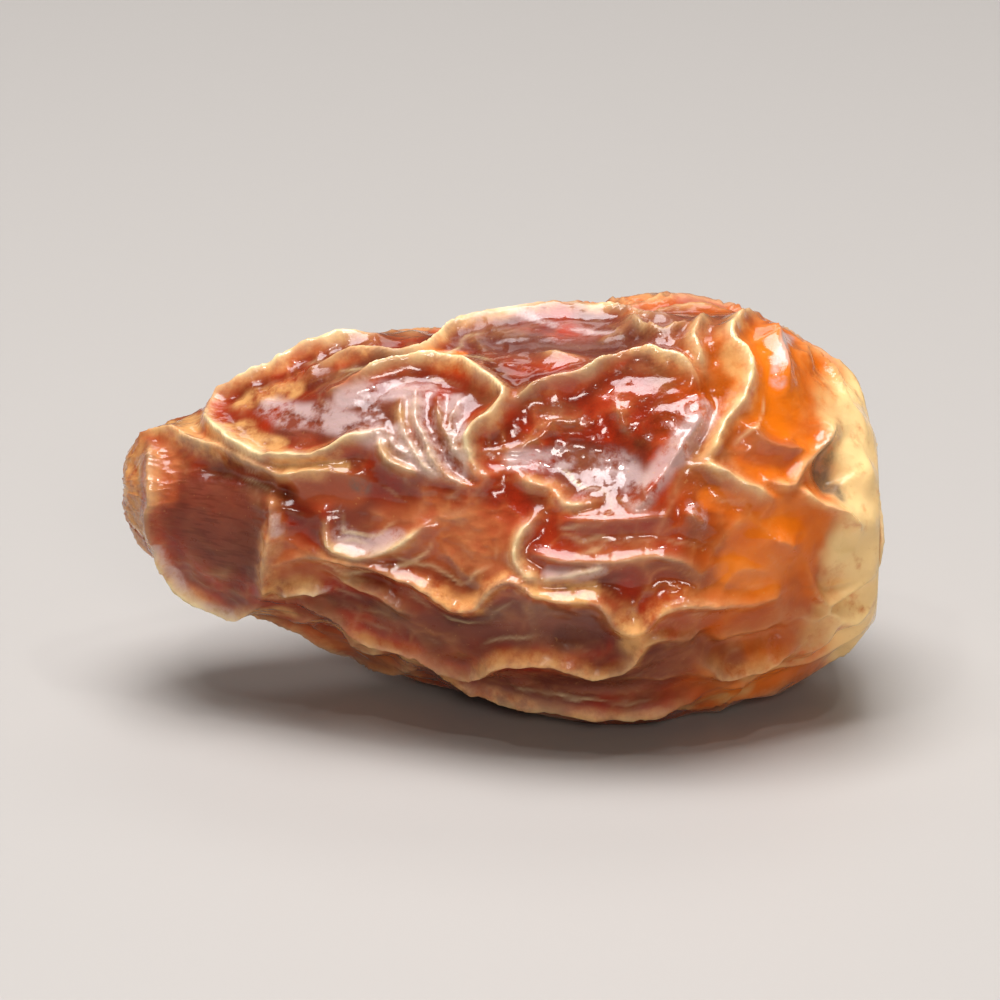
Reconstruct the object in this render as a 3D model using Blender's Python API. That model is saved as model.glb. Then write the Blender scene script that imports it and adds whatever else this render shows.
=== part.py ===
"""A ripe, wrinkled date, lying on its side.

The fruit lies along X: its blunt tip points to -X and its stem end to +X. It is one solid, because skin and
flesh grew as one piece. Its underside has sagged to a small flat spot, on which it rests. The dried calyx is a
piece of its own, seated in the recess of the stem end. Lengths are in millimetres until the meshes are made.
"""

import math

import bmesh
import bpy
import numpy as np
from mathutils import Matrix

MM = 0.001

# Seen from the front at this height, the fruit shows the outline that its stations give.
VIEW_TILT = math.radians(20)

# The fruit's stations, from the pole of the tip to the middle of the stem recess:
# distance from the tip, height of the middle line, half height and half depth.
STATIONS = np.array([
    (0.0, 0.8, 0.0, 0.0),
    (0.2, 0.8, 2.4, 2.3),
    (1.0, 0.6, 3.5, 3.5),
    (2.4, 0.5, 4.3, 4.4),
    (4.8, 0.4, 5.4, 5.6),
    (8.6, 0.9, 7.2, 7.2),
    (13.0, 0.9, 8.8, 8.8),
    (18.5, 0.0, 9.7, 10.1),
    (24.0, -0.3, 11.5, 11.2),
    (28.3, -0.4, 12.0, 11.7),
    (33.2, -0.1, 11.3, 11.2),
    (37.0, -0.2, 9.8, 9.8),
    (39.4, -0.5, 8.3, 8.2),
    (41.0, -0.9, 6.7, 6.6),
    (41.8, -1.1, 5.6, 5.5),
    (42.0, -1.2, 5.1, 5.1),
    (41.8, -1.2, 4.6, 4.6),
    (41.3, -1.2, 3.9, 3.9),
    (40.8, -1.2, 3.0, 3.0),
    (40.5, -1.2, 1.6, 1.6),
    (40.4, -1.2, 0.0, 0.0),
])

# The underside sags flat by this much, and its folds fade out round this place.
REST_SAG = 0.85
REST_X = 25.5
REST_SPAN = (8.5, 5.5)

# The swelling of the underside between tip and belly.
BELLY = 1.3
BELLY_X = 17.0
BELLY_LENGTH = 5.5
BELLY_ANGLE = math.radians(-112)
BELLY_WIDTH = 0.6

# The chief pleats of the skin on the front, as (height, half width, points). A point is its distance from the tip
# and its height above the tip-to-stem line, as seen from the front; a pleat with a negative height is a groove.
PLEATS = (
    # The loop near the tip: its outer, inner and lower sides, and the arch in it
    (0.65, 0.42, ((4.9, 5.2), (5.3, 6.1), (6.1, 7.0), (7.5, 7.6), (8.7, 7.9), (9.8, 8.6), (11.2, 9.2),
                  (12.6, 9.7), (14.0, 10.0))),
    (0.60, 0.40, ((10.5, 7.9), (12.0, 8.5), (13.4, 8.6), (15.0, 8.3), (17.0, 8.4), (18.4, 9.3),
                  (19.9, 10.4), (22.1, 11.0), (24.7, 11.2), (27.5, 11.1), (30.0, 10.6))),
    (0.95, 0.42, ((4.9, 5.6), (5.2, 4.5), (6.1, 3.7), (7.2, 3.0), (8.4, 2.6), (9.8, 2.6), (11.2, 2.8),
                  (12.6, 3.4), (14.4, 4.0))),
    (0.85, 0.46, ((12.0, 6.5), (13.4, 7.1), (14.9, 7.5), (16.5, 7.7), (17.8, 7.7), (19.1, 7.4), (20.4, 6.7),
                  (21.4, 5.7), (20.8, 4.9), (19.7, 4.2), (19.3, 3.4), (19.5, 2.5), (20.3, 1.5))),
    # The crumple under the arch
    (0.50, 0.24, ((16.4, 6.0), (16.7, 4.2), (17.2, 3.0), (18.1, 1.7), (19.4, 1.1))),
    (0.34, 0.20, ((17.7, 5.6), (18.0, 4.2), (18.6, 3.0), (19.4, 2.0), (20.0, 1.3))),
    (0.42, 0.22, ((15.6, 5.6), (15.8, 4.2), (16.3, 3.0), (17.2, 1.9), (18.0, 1.4))),
    (0.50, 0.26, ((14.4, 3.8), (14.8, 2.8), (15.6, 2.0), (16.7, 1.6))),
    (0.24, 0.18, ((18.8, 5.5), (18.4, 4.2), (18.8, 3.3), (19.2, 2.2))),
    (0.28, 0.18, ((14.8, 4.2), (15.3, 3.3), (16.1, 2.4))),
    # Round the deep pocket in the middle
    (0.90, 0.46, ((21.6, 5.4), (22.9, 6.3), (24.2, 6.6), (25.9, 7.3), (27.2, 7.8), (28.7, 8.1), (30.0, 8.0),
                  (31.1, 7.7), (31.8, 6.9))),
    (0.62, 0.95, ((32.4, 5.5), (31.5, 4.0), (30.4, 2.5), (29.4, 0.8), (28.3, -0.2))),
    (0.50, 0.34, ((25.9, 0.0), (24.7, 0.0), (24.0, 0.8), (22.9, 1.2), (22.0, 1.6))),
    (0.50, 0.32, ((23.4, -4.0), (22.2, -3.4), (21.9, -2.4), (22.3, -1.4), (22.9, -0.7))),
    (0.26, 0.40, ((24.6, -1.0), (26.4, -0.9), (28.5, -0.6), (30.0, -0.6))),
    (0.26, 0.34, ((22.9, -2.6), (25.1, -3.0), (27.2, -3.0), (29.4, -2.7), (31.0, -3.1), (32.0, -3.8))),
    (0.30, 0.32, ((23.4, -4.0), (25.1, -3.7), (26.9, -3.3))),
    # The zigzags along the lower half, and the crease that ends them
    (0.66, 0.44, ((8.7, -3.2), (9.8, -2.9), (11.4, -2.9), (12.9, -3.2), (15.4, -3.9), (17.2, -4.5),
                  (18.7, -5.2), (19.7, -5.2), (20.8, -4.3), (21.7, -3.9), (22.9, -4.5), (24.7, -5.0),
                  (26.4, -5.2), (27.7, -6.5), (28.5, -6.7), (29.4, -5.8), (30.7, -5.2), (32.4, -5.2),
                  (34.3, -5.5), (36.2, -5.2))),
    (0.60, 0.40, ((10.6, -5.6), (11.9, -6.2), (13.3, -7.0), (15.0, -7.3), (16.5, -7.6), (18.2, -8.4),
                  (19.7, -8.9), (20.8, -8.2), (22.9, -8.0), (25.1, -8.5), (26.8, -8.9), (27.9, -8.6),
                  (28.9, -7.3), (30.2, -6.9), (31.5, -7.1))),
    (-0.80, 0.45, ((31.7, -6.9), (32.2, -7.7), (33.0, -8.5), (34.5, -8.2), (36.2, -7.9), (37.5, -7.4))),
    (0.50, 0.42, ((32.4, -9.1), (33.6, -9.4), (35.2, -9.1), (37.0, -8.3))),
    (0.70, 0.50, ((18.0, -9.4), (21.5, -10.4), (24.5, -11.0), (26.8, -11.4), (29.4, -11.4), (31.5, -11.0))),
    (0.50, 0.34, ((11.3, -1.0), (11.5, -2.1), (13.3, -2.9), (15.5, -2.3), (16.8, -1.3))),
    (0.45, 0.34, ((9.2, -4.8), (10.2, -4.6), (11.3, -4.8))),
    (0.45, 0.34, ((12.0, -3.9), (12.9, -4.4), (14.7, -5.0), (16.2, -5.8))),
    # The shoulder, the valley beside it, and the creases that run to the dent near the stem end
    (0.85, 0.50, ((35.2, 10.0), (34.1, 9.6), (33.5, 8.7), (34.1, 8.1), (34.7, 7.2), (34.4, 6.1),
                  (33.4, 4.7), (32.4, 3.0), (31.6, 2.3))),
    (-0.90, 0.55, ((32.2, 8.4), (32.7, 7.0), (32.9, 5.7), (32.2, 3.9), (31.2, 2.4))),
    (0.50, 0.32, ((32.4, 10.1), (31.7, 8.9), (32.3, 7.5))),
    (0.40, 0.30, ((28.2, 10.8), (28.9, 10.0), (30.2, 9.5), (31.2, 9.9))),
    (0.65, 0.36, ((31.7, 2.5), (33.2, 1.7), (34.3, 1.0), (35.8, 0.3))),
    (0.55, 0.38, ((35.8, 1.2), (37.1, 1.2), (37.9, 2.3), (38.6, 2.9), (39.6, 4.6))),
    (0.55, 0.40, ((37.3, 0.9), (38.8, 0.0), (40.1, -0.7), (40.9, -1.6))),
    (-1.00, 1.00, ((38.8, 3.4), (39.6, 2.0), (40.2, 0.9))),
    (0.40, 0.65, ((34.4, 4.5), (35.6, 3.5), (37.0, 3.0), (37.9, 3.2))),
    (0.45, 0.65, ((35.8, 9.4), (36.4, 8.0), (36.8, 6.4))),
    (0.35, 0.50, ((31.2, -0.4), (32.1, -1.0))),
    (0.30, 0.45, ((36.0, -1.9), (37.2, -2.5))),
    # The facets of the tip
    (0.60, 0.50, ((1.2, 3.8), (2.6, 4.1), (4.1, 3.5), (5.6, 3.2), (7.2, 2.4), (8.9, 1.7), (11.2, 1.9),
                  (12.6, 1.7))),
    (-0.55, 0.40, ((3.9, 2.6), (5.5, 2.1), (7.2, 1.4), (8.9, 0.7), (9.8, 0.0))),
    (0.45, 0.60, ((1.6, 3.5), (1.9, 2.1), (1.7, 0.7), (1.5, -0.7), (1.6, -2.1), (1.9, -2.9))),
    (0.75, 0.50, ((1.6, -2.4), (2.7, -3.8), (4.1, -4.8), (5.3, -5.3), (6.4, -5.6), (7.7, -5.4))),
    (0.50, 0.55, ((8.4, 0.9), (8.6, -0.7), (8.4, -2.1), (8.2, -3.5), (8.1, -4.9))),
)

PLEAT_STEP = 0.45
PLEAT_REACH = 0.97
PLEAT_SPREAD = 0.85
CREST_ROUNDING = 0.1

# The skin between the pleats sags by this much, the more the farther it lies from the nearest pleat.
SAG = 0.5
SAG_WIDTH = 0.9
SAG_ENDS = (3.5, 6.5)

# Hollows between the pleats, and one low swelling, as (distance from the tip, height, half length, half width,
# slant in degrees, depth).
HOLLOWS = (
    (26.0, 2.7, 4.0, 2.3, 8.0, 1.25),
    (10.4, 5.3, 6.0, 2.0, 6.0, -0.25),
    (24.0, 9.4, 4.5, 1.1, 2.0, 0.3),
    (5.0, -1.2, 3.6, 4.0, 0.0, 0.3),
    (13.0, 0.4, 3.0, 1.0, -8.0, 0.2),
    (19.2, -6.6, 3.2, 0.9, -12.0, 0.25),
    (25.0, -6.8, 2.2, 1.0, -8.0, 0.3),
    (26.0, -10.1, 4.5, 0.8, -4.0, 0.2),
)

# Where the skin is taut in a hollow, the net of finer folds dies out to this share.
NET_WHERE_TAUT = 0.05
TAUT_FROM = 0.2
TAUT_AT = 0.7

# The net of finer folds that covers the rest of the skin. Each bend of the net is (reach, size, seed).
CELLS = 118
CELL_SEED = 11
CELL_STRETCH = 0.5
FOLD_HEIGHT = 0.78
FOLD_WIDTH = 0.42
POCKET_DEPTH = 0.42
BENDS = ((1.5, 4.5, 21), (0.45, 1.7, 31))
NET_BESIDE_PLEATS = 0.15

# The slow swellings of the flesh, and the small gathers round the stem end.
SWELL_HEIGHT = 0.35
SWELL_SIZE = 7.0
SWELL_SEED = 5
GATHER_HEIGHT = 0.16
GATHERS = 11

SKIN_ROUND = 240
SKIN_ALONG = 168
FRUIT_TRIANGLES = 9600
LEVEL_WITHIN = 0.03

# The calyx: three dried lobes that lie in the dish of the stem end, round the pale ring that the strand left.
CALYX_RADIUS = 4.7
CALYX_GAP = 0.36
CALYX_THICKNESS = 0.6
LOBE_DEPTH = 0.055
RING_RADIUS = 1.8
RING_HEIGHT = 0.85
RING_WIDTH = 0.5
KEEL_HEIGHT = 0.45
CRUMPLE_HEIGHT = 0.14
CALYX_ROUND = 72
CALYX_ALONG = 32

FRUIT_LOOK = ((0.42, 0.085, 0.02, 1.0), 0.28)
CALYX_LOOK = ((0.55, 0.36, 0.18, 1.0), 0.75)


def ease(value, low, high):
    """0 below low, 1 above high, and a smooth step between."""
    t = np.clip((value - low) / (high - low), 0.0, 1.0)
    return t * t * (3.0 - 2.0 * t)


def smooth_curve(knots, values, at):
    """The cubic curve through values at knots, read at the places at."""
    slopes = np.gradient(values, knots, axis=0)
    i = np.clip(np.searchsorted(knots, at) - 1, 0, len(knots) - 2)
    step = knots[i + 1] - knots[i]
    t = (at - knots[i]) / step
    if values.ndim > 1:
        t, step = t[:, None], step[:, None]
    return ((2 * t**3 - 3 * t**2 + 1) * values[i] + (t**3 - 2 * t**2 + t) * step * slopes[i]
            + (3 * t**2 - 2 * t**3) * values[i + 1] + (t**3 - t**2) * step * slopes[i + 1])


def ripple(points, scale, seed, waves=14):
    """Smooth noise of about -1 to 1, with features about scale across, as a sum of seeded waves."""
    draw = np.random.default_rng(seed)
    directions = draw.normal(size=(waves, 3))
    directions /= np.linalg.norm(directions, axis=1, keepdims=True)
    turns = draw.uniform(0.6, 1.5, waves)[:, None] * directions * math.tau / (2.0 * scale)
    return np.sin(points @ turns.T + draw.uniform(0, math.tau, waves)).sum(axis=1) / math.sqrt(waves)


MERIDIAN = np.concatenate([[0.0], np.cumsum(np.hypot(np.diff(STATIONS[:, 0]), np.diff(STATIONS[:, 2])))])
MERIDIAN_LENGTH = MERIDIAN[-1]
CREST = MERIDIAN[int(np.argmax(STATIONS[:, 0]))]


def sections(along):
    """Distance from the tip, middle height, half height and half depth at a length along the meridian."""
    found = smooth_curve(MERIDIAN, STATIONS, along)
    found[:, 2:] = np.maximum(found[:, 2:], 0.0)
    return found


def smooth_skin(along, around):
    """The skin without its folds. Around is 0 at the front, a quarter turn at the top."""
    x, middle, half_height, half_depth = sections(along).T
    lobe = 1.0 + 0.018 * np.cos(3 * around + 0.09 * along) + 0.012 * np.cos(5 * around - 0.16 * along + 1.0)
    turn = (around - BELLY_ANGLE + math.pi) % math.tau - math.pi
    bulge = BELLY * np.exp(-((x - BELLY_X) / BELLY_LENGTH)**2 - (turn / BELLY_WIDTH)**2)
    lobe += bulge / np.maximum(half_height, BELLY)
    depth = half_depth * np.cos(around) * lobe
    height = middle + half_height * np.sin(around) * lobe
    tilt_cos, tilt_sin = math.cos(VIEW_TILT), math.sin(VIEW_TILT)
    return np.stack([x, height * tilt_sin - depth * tilt_cos, height * tilt_cos + depth * tilt_sin], axis=1)


def skin_normals(along, around):
    """Outward normals of the smooth skin, from small steps along and round it."""
    step = 0.02
    inside = np.clip(along, step * 2, MERIDIAN_LENGTH - step * 2)
    lengthwise = smooth_skin(inside + step, around) - smooth_skin(inside - step, around)
    girthwise = smooth_skin(inside, around + step) - smooth_skin(inside, around - step)
    normals = np.cross(lengthwise, girthwise)
    return normals / np.linalg.norm(normals, axis=1, keepdims=True)


def front_angles(x, height):
    """Length along the meridian and angle round it of places seen on the front."""
    outside = np.linspace(0.0, CREST, 400)
    along = np.interp(x, sections(outside)[:, 0], outside)
    section = sections(along)
    return along, np.arcsin(np.clip((height - section[:, 1]) / section[:, 2], -PLEAT_REACH, PLEAT_REACH))


def front_place(x, height):
    """A place on the smooth skin, given as the pleats' points are."""
    return smooth_skin(*front_angles(np.array([x]), np.array([height])))[0]


def pleat_path(points):
    """A pleat's points laid on the smooth skin and joined by a smooth curve."""
    x, height = np.array(points).T
    along, around = front_angles(x, height)
    knots = np.concatenate([[0.0], np.cumsum(np.hypot(np.diff(x), np.diff(height)))])
    at = np.linspace(0.0, knots[-1], int(knots[-1] / PLEAT_STEP) + 2)
    laid = smooth_curve(knots, np.stack([along, around], axis=1), at)
    return smooth_skin(laid[:, 0], laid[:, 1])


def distance_to_path(points, path):
    """The distance from each point to a path of straight pieces, and the share of the path where it is met."""
    starts, steps = path[:-1], np.diff(path, axis=0)
    lengths = (steps**2).sum(axis=1)
    distance, share = np.empty(len(points)), np.empty(len(points))
    for first in range(0, len(points), 4000):
        offset = points[first:first + 4000, None, :] - starts
        t = np.clip((offset * steps).sum(axis=2) / lengths, 0.0, 1.0)
        gaps = ((offset - t[..., None] * steps)**2).sum(axis=2)
        best = gaps.argmin(axis=1)
        rows = np.arange(len(best))
        distance[first:first + 4000] = np.sqrt(gaps[rows, best])
        share[first:first + 4000] = (best + t[rows, best]) / len(steps)
    return distance, share


def pleat_heights(points):
    """The chief pleats' height at each point, and the distance to the nearest of them."""
    raised, sunk, nearest = np.zeros(len(points)), np.zeros(len(points)), np.full(len(points), 99.0)
    for height, half_width, path in PLEATS:
        distance, share = distance_to_path(points, pleat_path(path))
        taper = 0.25 + 0.75 * ease(share, 0.0, 0.16) * (1.0 - ease(share, 0.84, 1.0))
        rounded = np.hypot(distance, CREST_ROUNDING) - CREST_ROUNDING
        if height > 0:
            raised += (height * taper * np.exp(-rounded / (PLEAT_SPREAD * half_width)))**3
            nearest = np.minimum(nearest, distance)
        else:
            sunk = np.maximum(sunk, -height * taper / np.cosh(distance / half_width))
    sunk += SAG * (1.0 - np.exp(-nearest / SAG_WIDTH)) * (1.0 - ease(nearest, *SAG_ENDS))
    return np.cbrt(raised) - sunk, nearest


def hollow_depths(points):
    """The depth of the soft oval hollows at each point, and how near it lies to the middle of one."""
    depth, within = np.zeros(len(points)), np.zeros(len(points))
    for x, height, half_length, half_width, slant, deepest in HOLLOWS:
        turn = math.radians(slant)
        middle, ahead = front_place(x, height), front_place(x + math.cos(turn), height + math.sin(turn))
        axis = (ahead - middle) / np.linalg.norm(ahead - middle)
        offset = points - middle
        lengthwise = offset @ axis
        crosswise = np.linalg.norm(offset - lengthwise[:, None] * axis, axis=1)
        bell = np.exp(-(lengthwise / half_length)**2 - (crosswise / half_width)**2)
        depth += deepest * bell
        within = np.maximum(within, bell)
    return depth, within


def net_heights(points):
    """Folds along the borders of stretched cells, and pockets that sink between them."""
    draw = np.random.default_rng(CELL_SEED)
    turn = math.pi * (3.0 - math.sqrt(5.0))
    place = (np.arange(CELLS) + 0.5) / CELLS
    seeds = smooth_skin(place * CREST, np.arange(CELLS) * turn + draw.uniform(-0.5, 0.5, CELLS))
    strength = draw.uniform(0.25, 1.0, CELLS)
    depth = draw.uniform(0.2, 1.0, CELLS)
    bent = points.copy()
    for reach, size, seed in BENDS:
        bent += reach * np.stack([ripple(points, size, seed + axis) for axis in range(3)], axis=1)
    stretch = np.array([CELL_STRETCH, 1.0, 1.0])
    gaps = np.linalg.norm((bent[:, None, :] - seeds) * stretch, axis=2)
    order = np.argpartition(gaps, 2, axis=1)[:, :2]
    pair = np.take_along_axis(gaps, order, axis=1)
    border = np.abs(pair[:, 1] - pair[:, 0])
    power = np.sqrt(strength[order[:, 0]] * strength[order[:, 1]])
    own = order[np.arange(len(order)), np.argmin(pair, axis=1)]
    return FOLD_HEIGHT * power / np.cosh(border / FOLD_WIDTH) - POCKET_DEPTH * depth[own] * ease(border, 0.4, 2.2)


def fold_heights(along, around, points):
    """How far the wrinkled skin stands off the smooth skin."""
    chief, nearest = pleat_heights(points)
    hollow, within = hollow_depths(points)
    net = net_heights(points) * (NET_BESIDE_PLEATS + (1.0 - NET_BESIDE_PLEATS) * ease(nearest, 1.2, 4.0))
    net *= 1.0 - (1.0 - NET_WHERE_TAUT) * ease(within, TAUT_FROM, TAUT_AT)
    swell = SWELL_HEIGHT * ripple(points, SWELL_SIZE, SWELL_SEED)
    gather = GATHER_HEIGHT * np.cos(GATHERS * around + 1.6 * np.sin(2 * around))
    gather *= ease(along, CREST - 7.0, CREST - 2.5) * (1.0 - ease(along, CREST - 1.2, CREST))
    calm = 1.0 - ease(along, CREST - 3.2, CREST - 0.4)
    tip = 0.35 + 0.65 * ease(along, 1.0, 3.5)
    return (chief - hollow + net + swell) * calm * tip + gather


def rest_height():
    """How far below the middle line the fruit's underside is cut flat."""
    along, around = np.meshgrid(np.linspace(0.0, CREST, 200), np.linspace(-math.pi, 0.0, 90))
    return smooth_skin(along.ravel(), around.ravel())[:, 2].min() + REST_SAG


def fruit_skin(along, around):
    """The wrinkled skin, standing on its flat spot at height 0."""
    smooth = smooth_skin(along, around)
    height = fold_heights(along, around, smooth)
    under = ease(-smooth[:, 2], 7.0, 11.0)
    off_spot = np.hypot((smooth[:, 0] - REST_X) / REST_SPAN[0], smooth[:, 1] / REST_SPAN[1])
    height *= 1.0 - under * (1.0 - ease(off_spot, 0.75, 1.35))
    wrinkled = smooth + skin_normals(along, around) * height[:, None]
    wrinkled[:, 2] = np.maximum(wrinkled[:, 2] - rest_height(), 0.0)
    return wrinkled


def calyx_surface(across, around):
    """The calyx. Across runs from 0 at the middle of its outer face, over the edge at 0.5, to 1 inside."""
    share = 1.0 - np.abs(2.0 * across - 1.0)
    lobes = 1.0 + LOBE_DEPTH * (np.cos(3 * around + 0.6) + 0.35 * np.cos(7 * around + 2.0) - 1.0)
    radius = CALYX_RADIUS * share * (1.0 - share * (1.0 - lobes))
    dish = STATIONS[int(np.argmax(STATIONS[:, 0])):][::-1]
    seat = smooth_curve(dish[:, 2], dish[:, 0], radius) + CALYX_GAP
    ring = RING_HEIGHT * np.exp(-((radius - RING_RADIUS) / RING_WIDTH)**2)
    between = ease(share, 0.36, 0.5) * (1.0 - ease(share, 0.8, 1.0))
    keel = KEEL_HEIGHT * np.abs(np.cos(1.5 * around + 0.3))**12 * between
    crumple = CRUMPLE_HEIGHT * (np.cos(9 * around + 4.0 * share) + np.cos(5 * around - 9.0 * share)) * between
    edge = np.sqrt(np.maximum(1.0 - share**8, 0.0))
    x = seat + np.where(across < 0.5, CALYX_THICKNESS * edge + ring + keel + crumple, 0.0)
    height = STATIONS[-1, 1] + radius * np.sin(around)
    depth = radius * np.cos(around)
    tilt_cos, tilt_sin = math.cos(VIEW_TILT), math.sin(VIEW_TILT)
    up = height * tilt_cos + depth * tilt_sin - rest_height()
    return np.stack([x, height * tilt_sin - depth * tilt_cos, up], axis=1)


def sphere_moved(name, rounds, rows, surface, look):
    """A UV sphere whose rows and columns are laid on a surface given by a share along it and an angle."""
    ball = bmesh.new()
    bmesh.ops.create_uvsphere(ball, u_segments=rounds, v_segments=rows, radius=1.0)
    mesh = bpy.data.meshes.new(name)
    ball.to_mesh(mesh)
    ball.free()
    places = np.empty(len(mesh.vertices) * 3)
    mesh.vertices.foreach_get("co", places)
    places = places.reshape(-1, 3)
    share = np.arccos(np.clip(places[:, 2], -1.0, 1.0)) / math.pi
    angle = np.arctan2(places[:, 1], places[:, 0])
    mesh.vertices.foreach_set("co", (surface(share, angle) * MM).ravel())
    whole = bmesh.new()
    whole.from_mesh(mesh)
    bmesh.ops.recalc_face_normals(whole, faces=whole.faces)
    whole.to_mesh(mesh)
    whole.free()
    mesh.shade_smooth()
    (colour, roughness) = look
    material = bpy.data.materials.new(name + "_finish")
    material.use_nodes = True
    shader = material.node_tree.nodes["Principled BSDF"]
    shader.inputs["Base Color"].default_value = colour
    shader.inputs["Roughness"].default_value = roughness
    shader.inputs["Metallic"].default_value = 0.0
    mesh.materials.append(material)
    return bpy.data.objects.new(name, mesh)


def make_fruit():
    """The fruit, thinned so that its faces gather along the folds, with its flat spot made level again."""
    fruit = sphere_moved("fruit", SKIN_ROUND, SKIN_ALONG,
                         lambda share, angle: fruit_skin(share * MERIDIAN_LENGTH, angle), FRUIT_LOOK)
    bpy.context.scene.collection.objects.link(fruit)
    thin = fruit.modifiers.new("Thin", "DECIMATE")
    thin.ratio = FRUIT_TRIANGLES / (2 * SKIN_ROUND * (SKIN_ALONG - 1))
    fruit.data = bpy.data.meshes.new_from_object(fruit.evaluated_get(bpy.context.evaluated_depsgraph_get()))
    fruit.modifiers.remove(thin)
    bpy.context.scene.collection.objects.unlink(fruit)
    for corner in fruit.data.vertices:
        if corner.co.z < LEVEL_WITHIN * MM:
            corner.co.z = 0.0
    return fruit


def make_calyx():
    """The dried calyx in the stem recess."""
    return sphere_moved("calyx", CALYX_ROUND, CALYX_ALONG, calyx_surface, CALYX_LOOK)


def centre_on_origin(objects):
    """Moves all the meshes together, so that the middle of the whole base is the origin."""
    corners = [np.array([v.co for v in part.data.vertices]) for part in objects]
    low = np.min([c.min(axis=0) for c in corners], axis=0)
    high = np.max([c.max(axis=0) for c in corners], axis=0)
    middle = (low + high) / 2
    for part in objects:
        part.data.transform(Matrix.Translation((-middle[0], -middle[1], -low[2])))


def main():
    for old in list(bpy.data.objects):
        bpy.data.objects.remove(old)
    date = bpy.data.collections.new("date")
    bpy.context.scene.collection.children.link(date)
    parts = [make_fruit(), make_calyx()]
    centre_on_origin(parts)
    for part in parts:
        date.objects.link(part)


main()
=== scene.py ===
# A ripe, wrinkled date on a pale studio floor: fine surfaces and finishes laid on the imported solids.
import math

import bpy
import numpy as np
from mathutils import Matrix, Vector


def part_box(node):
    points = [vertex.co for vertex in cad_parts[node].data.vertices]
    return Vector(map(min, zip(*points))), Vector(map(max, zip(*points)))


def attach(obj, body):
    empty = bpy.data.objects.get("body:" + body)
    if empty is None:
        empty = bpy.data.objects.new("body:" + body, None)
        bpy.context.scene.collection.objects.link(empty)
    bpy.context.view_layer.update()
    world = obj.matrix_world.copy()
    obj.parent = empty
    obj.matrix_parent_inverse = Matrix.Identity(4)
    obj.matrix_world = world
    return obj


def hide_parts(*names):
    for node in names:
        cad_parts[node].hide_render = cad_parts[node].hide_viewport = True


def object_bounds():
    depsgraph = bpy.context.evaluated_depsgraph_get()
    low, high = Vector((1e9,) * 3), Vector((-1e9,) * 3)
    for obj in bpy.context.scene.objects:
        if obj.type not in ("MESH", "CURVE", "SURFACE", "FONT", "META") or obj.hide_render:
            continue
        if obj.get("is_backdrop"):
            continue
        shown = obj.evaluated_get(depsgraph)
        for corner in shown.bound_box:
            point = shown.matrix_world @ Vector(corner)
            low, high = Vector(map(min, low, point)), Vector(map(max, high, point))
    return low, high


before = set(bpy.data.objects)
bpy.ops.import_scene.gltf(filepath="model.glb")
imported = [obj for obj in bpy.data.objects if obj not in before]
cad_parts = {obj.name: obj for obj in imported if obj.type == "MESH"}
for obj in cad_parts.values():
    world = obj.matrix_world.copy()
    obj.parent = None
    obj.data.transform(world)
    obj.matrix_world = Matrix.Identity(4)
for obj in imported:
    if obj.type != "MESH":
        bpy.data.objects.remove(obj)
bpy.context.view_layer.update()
mm = 0.001  # surfaces are worked out in millimetres and scaled once, when a mesh is made


# Curves and noise, on whole arrays

def ease(value, low, high):  # 0 below low, 1 above high, t*t*(3 - 2t) between
    t = np.clip((value - low) / (high - low), 0.0, 1.0)
    return t * t * (3.0 - 2.0 * t)


def smoothCurve(knots, values, at):  # the cubic Hermite curve through values at knots, with central slopes
    slopes = np.gradient(values, knots, axis=0)
    i = np.clip(np.searchsorted(knots, at) - 1, 0, len(knots) - 2)
    step = knots[i + 1] - knots[i]
    t = (at - knots[i]) / step
    if values.ndim > 1:
        t, step = t[:, None], step[:, None]
    return ((2 * t**3 - 3 * t**2 + 1) * values[i] + (t**3 - 2 * t**2 + t) * step * slopes[i]
            + (3 * t**2 - 2 * t**3) * values[i + 1] + (t**3 - t**2) * step * slopes[i + 1])


def ripple(points, size, seed, waves=14):  # a sum of sine waves in seeded directions, about -1 to 1
    draw = np.random.default_rng(seed)
    directions = draw.normal(size=(waves, 3))
    directions /= np.linalg.norm(directions, axis=1, keepdims=True)
    turns = draw.uniform(0.6, 1.5, waves)[:, None] * directions * math.tau / (2.0 * size)
    return np.sin(points @ turns.T + draw.uniform(0, math.tau, waves)).sum(axis=1) / math.sqrt(waves)


def grain(points, size, seed):  # value noise, -1 to 1: hashed lattice corners, eased between
    place = points / size
    corner = np.floor(place).astype(np.int64)
    part = place - corner
    part = part * part * (3.0 - 2.0 * part)
    total = np.zeros(len(points))
    for step in np.ndindex(2, 2, 2):
        x, y, z = (corner + step).T
        mixed = (x * 73856093) ^ (y * 19349663) ^ (z * 83492791) ^ (seed * 39916801)
        mixed = ((mixed ^ (mixed >> 13)) * 1274126177) & 0xffffffff
        value = ((mixed ^ (mixed >> 15)) & 0xffff) / 32767.5 - 1.0
        total += value * np.prod(np.where(step, part, 1.0 - part), axis=1)
    return total


def cloudy(points, size, seed, layers=3):  # grain at halving sizes and strengths
    return sum(grain(points, size / 2**k, seed + k) / 2**k for k in range(layers)) / 1.6


def threads(points, size, seed, thin=0.10):  # thin wandering lines, exp(-|noise| / thin), 1 on the line
    return np.exp(-np.abs(grain(points, size, seed)) / thin)


# Meshes

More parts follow.
